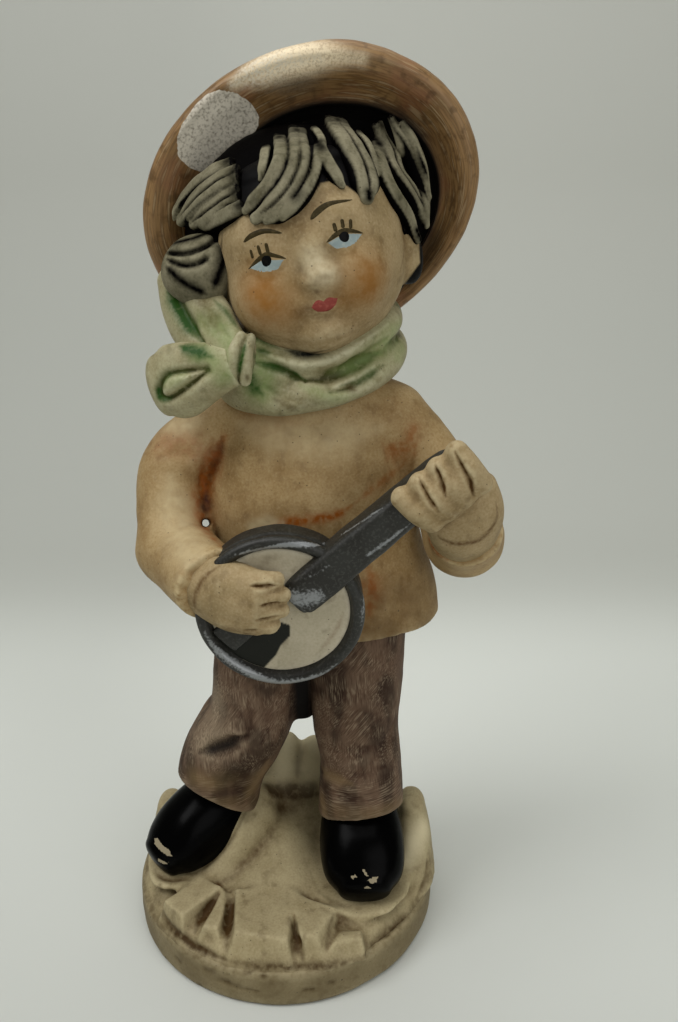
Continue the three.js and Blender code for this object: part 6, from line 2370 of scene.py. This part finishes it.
@dataclass
class Hair:
    """The hair: a cap round the back of the head, its front locks and the bun over the right ear."""

    width: float = 48.0
    depth: float = 39.0
    height: float = 45.0
    bun_width: float = 14.0
    sink: float = 0.16

    def cap(self, hat: "Hat") -> Skin:
        """The oval cap, tucked into the hat."""
        middle = place_on_head(-1.2, 6.5, 3.5)
        cap = ball(middle, (self.width, self.depth, self.height), turn(BACK, -HEAD_ROLL), 0.6)
        cap.points = hat.tucked(cap.points)
        return cap

    def strand(self, under: Skin, lock: Lock) -> tuple[Loft, Array, Array]:
        """One lock as a flattened loft that follows the hair beneath.

        Its width swells by a quarter in the middle and halves at the tip, and it grows thinner
        towards the tip.

        Args:
            under: What the lock lies on.
            lock: The lock.

        Returns:
            The loft, its middle line and its sideways directions.
        """
        path = spline(SIGHT.on(under, lock.route, 24)[[0, 6, 12, 18, 23]], 24)
        away = unit(path - HEAD_MIDDLE - np.array([0, 12, 0]))
        path = path + away * lock.thick * self.sink
        share = np.linspace(0, 1, 24)
        wide = lock.width * (0.95 + 0.25 * np.sin(share * 2.6)) * (1 - 0.5 * ease((share - 0.72) / 0.28))
        deep = lock.thick * (1 - 0.4 * ease((share - 0.55) / 0.45)) * (0.45 + 0.55 * ease(share / 0.3))
        across = unit(np.cross(path[-1] - path[0], away[12]))
        rings = np.column_stack([path, wide, deep])
        loft = Loft(rings, across=across, domes=(0.4, 0.9), square=3.0, pitch=0.35)
        side = unit(np.cross(np.gradient(path, axis=0), away)) * wide[:, None] / 2
        return loft, path + away * deep[:, None] * 0.45, side

    def build(self, head: Skin, hat: "Hat") -> Skin:
        """The cap with every lock pressed onto it, black between and beneath the locks."""
        cap = self.cap(hat)
        under = cap.joined(Skin(head.points, head.quads, head.tris))
        clay = Clay((-22, -30, 140), (32, 26, 190), 0.34).add(cap)
        strands = []
        for lock in LOCKS:
            loft, middle, side = self.strand(under, lock)
            clay.add(loft, 0.25)
            strands.append((lock, middle, side))
        skin = clay.skin(1).rough(0.14, 3.0, 91)
        high = np.zeros(len(skin.points))
        for lock, middle, side in strands:
            distance, along = near(skin.points, middle)
            reach = lock.width * 0.5 * (1.05 - 0.35 * along)
            high = np.maximum(high, ease(2.6 - 1.9 * distance / reach) * ease((along + 0.05) / 0.22))
            for line in lock.lines():
                skin.carve(middle + side * line, 0.34, 0.5, 0.3)
        skin.relief(0.1, 0.3)
        front = ease((9.0 - (skin.points[:, 1] - HEAD_MIDDLE[1])) / 6)
        skin.paint["ink"] = front * (1 - high)
        for lock, middle, side in strands:
            for line in lock.lines():
                skin.mark("ink", middle + side * line, 0.3, 0.8)
            if lock.dark_tip:
                skin.mark("ink", middle[-3:], 0.9, 1.0, 0)
            skin.mark("ink", middle[:2], 1.5, 0.8, 0)
        nape = 1 - front
        combed = 0.5 + 0.5 * np.sin(skin.points[:, 0] * 2.1 + 1.5 * lumps(skin.points, 6, 93))
        skin.points -= skin.facing() * (nape * combed * 0.7)[:, None]
        skin.paint["ink"] = np.maximum(skin.paint["ink"], nape * ease((combed - 0.55) / 0.4) * 0.85)
        return skin

    def bun(self) -> Skin:
        """The bun: an oval ball with two curved partings."""
        wide = self.bun_width
        middle = place_on_head(-self.width / 2 + 2.6, -5.5, 3.4)
        size = (wide * 1.08, wide * 0.9, wide * 0.94)
        clay = Clay(middle - 13, middle + 13, 0.34).add(ball(middle, size, turn(BACK, -HEAD_ROLL - 14), 0.4))
        tip = SIGHT.at((210, 278), middle[1] - 1)
        clay.add(ball(tip, (8.5, 9, 11), turn(BACK, 28), 0.4), 3.5)
        skin = clay.skin(1).rough(0.18, 4.0, 95)
        grooves = (
            [(164, 252), (186, 253), (205, 246), (219, 236)],
            [(166, 259), (181, 265), (196, 264), (210, 256)],
        )
        SIGHT.carve(skin, [(route, 0.7, 0.8) for route in grooves], 0.1)
        skin.relief(0.1, 0.35)
        skin.paint["ink"] = np.zeros(len(skin.points))
        # Black paint in the two partings, and painted shade along the bun's edges by the face, the scarf and
        # the brim.
        lines = [
            *((route, 0.5) for route in grooves),
            ([(224, 240), (223, 262), (214, 288)], 1.3), ([(166, 267), (184, 283), (206, 294)], 1.0),
            ([(170, 243), (192, 238), (214, 229)], 0.8),
        ]
        SIGHT.mark(skin, [("ink", route, width, 0.9) for route, width in lines], 0.1)
        return skin

    def dress(self, bench: Workbench, head: Skin, hat: "Hat") -> None:
        """The painted hair and bun."""
        nodes = ["hair_cap", "fringe_middle", "fringe_left", "fringe_right"]
        bench.place("hair_painted", self.build(head, hat), HAIR_PAINT, "hair_paint", nodes)
        bench.place("side_bun_painted", self.bun(), HAIR_PAINT, "hair_paint", ["side_bun"])


@dataclass
class Hat:
    """The hat: a cupped brim with a thick rolled rim, and a crown behind the head.

    In its own frame the crown points along +y.
    """

    middle: Point = (5.9, 8.0, 171.3)
    roll: float = 21.0
    lean: float = 15.0
    width: float = 71.0
    inner: float = 49.0
    oval: float = 0.82
    cup: float = 5.0
    rim: float = 2.3
    crown_depth: float = 23.0
    crown_shift: Pixel = (2.0, -3.0)
    pitch: float = 0.42
    crown_pitch: float = 0.5
    grain_ring: float = 1.6

    def frame(self) -> Array:
        """The turn from the hat's own frame to the layout."""
        return turn(BACK, -self.roll) @ turn(ACROSS, self.lean)

    def tucked(self, points: Array) -> Array:
        """Points with those behind the brim drawn in until they lie inside the crown."""
        own = (points - np.array(self.middle)) @ self.frame()
        middle = np.array([self.crown_shift[0], 0, self.crown_shift[1] * self.oval])
        out = (own - middle) * (1, 0, 1)
        reach = np.hypot(out[:, 0], out[:, 2] / self.oval) / (0.48 * self.inner)
        drawn = np.maximum(1 - 1 / np.maximum(reach, 1e-6), 0) * ease((own[:, 1] + 2) / 2)
        return (own - out * drawn[:, None]) @ self.frame().T + np.array(self.middle)

    def grain(self, along: Array, angle: Array) -> Array:
        """Where the brush's hairs run: the length along the section, and a tight ring for the angle."""
        return np.stack([along, self.grain_ring * np.cos(angle), self.grain_ring * np.sin(angle)], -1)

    def brim(self) -> Skin:
        """The brim: a section carried round an oval.

        The section runs out along the dish -cup * s2 on its front, whose outer half rolls
        back again, round the rim by a half circle, and back behind. It grows thicker with s.

        Returns:
            The brim's surface, with the direction of its brush strokes.
        """
        reach = (self.width - self.inner) / 2 - self.rim
        count = int(reach / self.pitch)
        s = np.linspace(0, 1, count)
        half = 1.5 + (self.rim - 1.5) * s**1.5
        bend = np.linspace(-math.pi / 2, math.pi / 2, 18)[1:-1]
        share = np.concatenate([s, np.ones(len(bend)), s[::-1]])
        out = np.concatenate([0 * s, self.rim * np.cos(bend), 0 * s])
        dish = self.cup * share**2 * (1 - 0.5 * ease((share - 0.55) / 0.45))
        height = np.concatenate([-half, self.rim * np.sin(bend), half[::-1]]) - dish
        angle = circle(int(math.pi * self.width / self.pitch / 1.3))
        radius = (self.inner / 2 + share * reach + out)[:, None]
        inward = 1 - share[:, None]
        x = radius * np.cos(angle) + inward * self.crown_shift[0]
        z = (radius * np.sin(angle) + inward * self.crown_shift[1]) * self.oval
        grid = np.stack([x, height[:, None] + 0 * angle, z], -1)
        along = np.cumsum(np.full(len(share), self.pitch))[:, None] + 0 * angle
        skin = sheet(grid @ self.frame().T + np.array(self.middle), wrap=True)
        skin.paint["grain"] = self.grain(along, angle + 0 * along).reshape(-1, 3)
        skin.rough(0.35, 12.0, 101).rough(0.08, 3.0, 102)
        skin.relief(0.1, 0.5)
        rim = np.concatenate([s**6, np.ones(len(bend)), s[::-1] ** 4]).repeat(len(angle))
        skin.paint["rubbed"] = np.clip(rim * (0.7 + 0.5 * lumps(skin.points, 7, 104)), 0, 1)
        skin.paint["cream"] = np.zeros(len(skin.points))
        # A painted highlight and cream flakes of worn paint along the rim's top; painted shade in black on
        # the inner brim at the right and under the rolled rim.
        SIGHT.mark(skin, [
            ("satin", [(236, 84), (258, 70), (290, 59), (325, 55), (362, 59)], 3.6, 1.25),
            ("cream", [(232, 85), (244, 77), (262, 70), (285, 62), (320, 58)], 2.2, 1.0),
            ("ink", [(375, 104), (398, 115), (415, 138), (426, 165), (430, 190), (430, 215)], 2.4, 0.95),
            ("ink", [(434, 205), (432, 235), (424, 262), (410, 285)], 3.0, 0.55),
            ("ink", [(270, 92), (300, 84), (325, 80)], 1.2, 0.4),
        ], 0.45)
        # Painted shade on the inner brim, darkest by the head.
        deep = np.concatenate([1 - ease(s / 0.8), 0 * bend, 0 * s]).repeat(len(angle))
        skin.paint["deep"] = np.clip(deep * (0.9 + 0.5 * lumps(skin.points, 6, 105)), 0, 1)
        inside = np.concatenate([1 - ease(s / 0.16), 0 * bend, 0 * s]).repeat(len(angle))
        skin.paint["ink"] = np.maximum(skin.paint["ink"], inside * 0.95)
        bare = [
            (219, 90), (236, 93), (251, 103), (259, 116), (258, 127), (251, 137), (233, 155), (217, 169),
            (209, 175), (190, 168), (178, 157), (177, 138), (182, 124), (196, 104), (207, 94),
        ]
        skin.paint["bare"] = SIGHT.patch(skin, bare, 1.6)
        return skin

    def crown(self) -> Skin:
        """The crown: a soft dome behind the brim, and the dark hollow that holds the head."""
        wide = self.inner / 2 + 1.2
        bend = np.linspace(0, math.pi / 2, 60)
        profile = [
            (0.0, 5.0), (wide * 0.5, 4.4), (wide * 0.82, 2.8),
            (wide * 0.93, 0.8), (wide * 0.96, -0.6), (wide, 1.2),
        ]
        dome = np.stack([wide * np.cos(bend) ** 0.8, 1.9 + self.crown_depth * np.sin(bend)], -1)
        radius, height, along, steps = walked(np.vstack([profile, dome]), self.crown_pitch)
        angle = circle(300)
        x = radius * np.cos(angle) + self.crown_shift[0]
        z = (radius * np.sin(angle) + self.crown_shift[1]) * self.oval
        grid = np.stack([x, height + 0 * angle, z], -1)
        skin = sheet(grid @ self.frame().T + np.array(self.middle))
        skin.relax(1).rough(0.4, 11.0, 111).rough(0.08, 3.0, 112).relief(0.1, 0.5)
        ring = np.concatenate([along[1:-1].repeat(len(angle)), along[[0, -1]]])
        skin.paint["grain"] = self.grain(ring, np.concatenate([np.tile(angle, len(along) - 2), [0, 0]]))
        skin.paint["ink"] = ease((steps[5] + 0.6 - ring) / 1.0)
        skin.paint["deep"] = 0.5 + 0.5 * lumps(skin.points, 8, 113)
        return skin

    def dress(self, bench: Workbench) -> None:
        """The painted brim and crown."""
        bench.place("hat_brim_painted", self.brim(), HAT_PAINT, "hat_paint", ["hat_brim"])
        bench.place("hat_crown_painted", self.crown(), HAT_PAINT, "hat_paint", ["hat_crown"])


@dataclass
class Studio:
    """The pale sweep behind and below the figurine, and its soft lamps."""

    shift: Array
    floor_back: float = 190.0
    bend: float = 200.0
    wall_top: float = 900.0
    half_width: float = 1400.0
    front: float = -1400.0

    def sweep(self) -> bpy.types.Object:
        """A floor that curves up into a wall: a profile carried sideways."""
        bend = np.linspace(0, math.pi / 2, 48)
        back = self.floor_back + self.bend
        y = np.concatenate([[self.front], self.floor_back + self.bend * np.sin(bend), [back]])
        z = np.concatenate([[0], self.bend * (1 - np.cos(bend)), [self.wall_top]]) - 0.05
        x = np.array([-self.half_width, self.half_width])
        points = np.stack([np.tile(x, len(y)), np.repeat(y, 2), np.repeat(z, 2)], -1) + self.shift
        row = np.arange(len(y) - 1)[:, None] * 2
        faces = row + np.array([0, 1, 3, 2])
        mesh = bpy.data.meshes.new("backdrop_sweep")
        mesh.from_pydata((points * MM).tolist(), [], faces.tolist())
        mesh.polygons.foreach_set("use_smooth", np.ones(len(faces), bool))
        backdrop = bpy.data.objects.new("backdrop_sweep", mesh)
        bpy.context.scene.collection.objects.link(backdrop)
        mesh.materials.append(self.paper())
        return backdrop

    @staticmethod
    def paper() -> bpy.types.Material:
        """Matt pale grey background paper with painted light: brighter across the middle of the floor, and
        painted shade towards the front, at the back, up the wall and along the left side.
        """
        look = Finish("pale_background_paper")
        side, depth, height = look.add("ShaderNodeSeparateXYZ", {0: look.places}).outputs
        colour = look.mix(look.band(depth, -0.16, 0.09), "#b9bbb5", "#e6e9e3")
        colour = look.mix(look.band(depth, 0.11, 0.24), colour, "#c5c7c0")
        colour = look.mix(look.band(height, 0.08, 0.2), colour, "#c9cac3")
        colour = look.lay(colour, "#b0b2ac", look.band(side, -0.01, -0.1), 0.3)
        return look.done(colour, 0.9, ior=1.3)

    def lamp(self, name: str, place: Point, aim: Point, size: float, power: float) -> None:
        """A square soft box that shines at a place, all in millimetres but the power."""
        data = bpy.data.lights.new(name, "AREA")
        data.shape = "SQUARE"
        data.size = size * MM
        data.energy = power
        lamp = bpy.data.objects.new(name, data)
        start = np.array(place) + self.shift
        way = unit(np.array(aim) + self.shift - start)
        lamp.location = start * MM
        pitch, yaw = math.acos(-way[2]), math.atan2(way[0], -way[1])
        lamp.rotation_euler = Euler((pitch, 0, yaw + math.pi))
        bpy.context.scene.collection.objects.link(lamp)

    def build(self) -> None:
        """Sweep, lamps and world."""
        self.sweep()
        self.lamp("top_softbox", (20, -60, 760), (0, 20, 60), 620, 2.05)
        self.lamp("left_lamp", (-310, -170, 520), (0, 0, 120), 250, 1.25)
        self.lamp("front_lamp", (260, -400, 240), (0, 0, 90), 380, 0.76)
        world = bpy.data.worlds.new("studio_room")
        world.use_nodes = True
        tree = world.node_tree
        background = tree.nodes["Background"]
        background.inputs["Color"].default_value = linear("#dfe0d8")
        path = tree.nodes.new("ShaderNodeLightPath")
        dim = tree.nodes.new("ShaderNodeMapRange")
        dim.inputs["To Min"].default_value = 0.33
        dim.inputs["To Max"].default_value = 0.03
        tree.links.new(path.outputs["Is Glossy Ray"], dim.inputs["Value"])
        tree.links.new(dim.outputs["Result"], background.inputs["Strength"])
        bpy.context.scene.world = world


def main() -> None:
    """Builds the figurine from the ground up, then the studio and the camera."""
    logging.basicConfig(level=logging.INFO, format="%(name)s: %(message)s")
    bench = Workbench()
    banjo, tunic = Banjo(), Tunic()
    Plinth().dress(bench)
    Ground().dress(bench)
    LEFT_SHOE.dress(bench)
    RIGHT_SHOE.dress(bench)
    Trousers().dress(bench)
    tunic.dress(bench)
    banjo.dress(bench)
    Hands(banjo, tunic).dress(bench)
    Scarf().dress(bench)
    head = Head().dress(bench)
    hat = Hat()
    Hair().dress(bench, head, hat)
    hat.dress(bench)
    Studio(bench.shift).build()
    SIGHT.make(bench.shift)
    bpy.context.scene.view_settings.view_transform = "Standard"


if __name__ == "__main__":
    main()
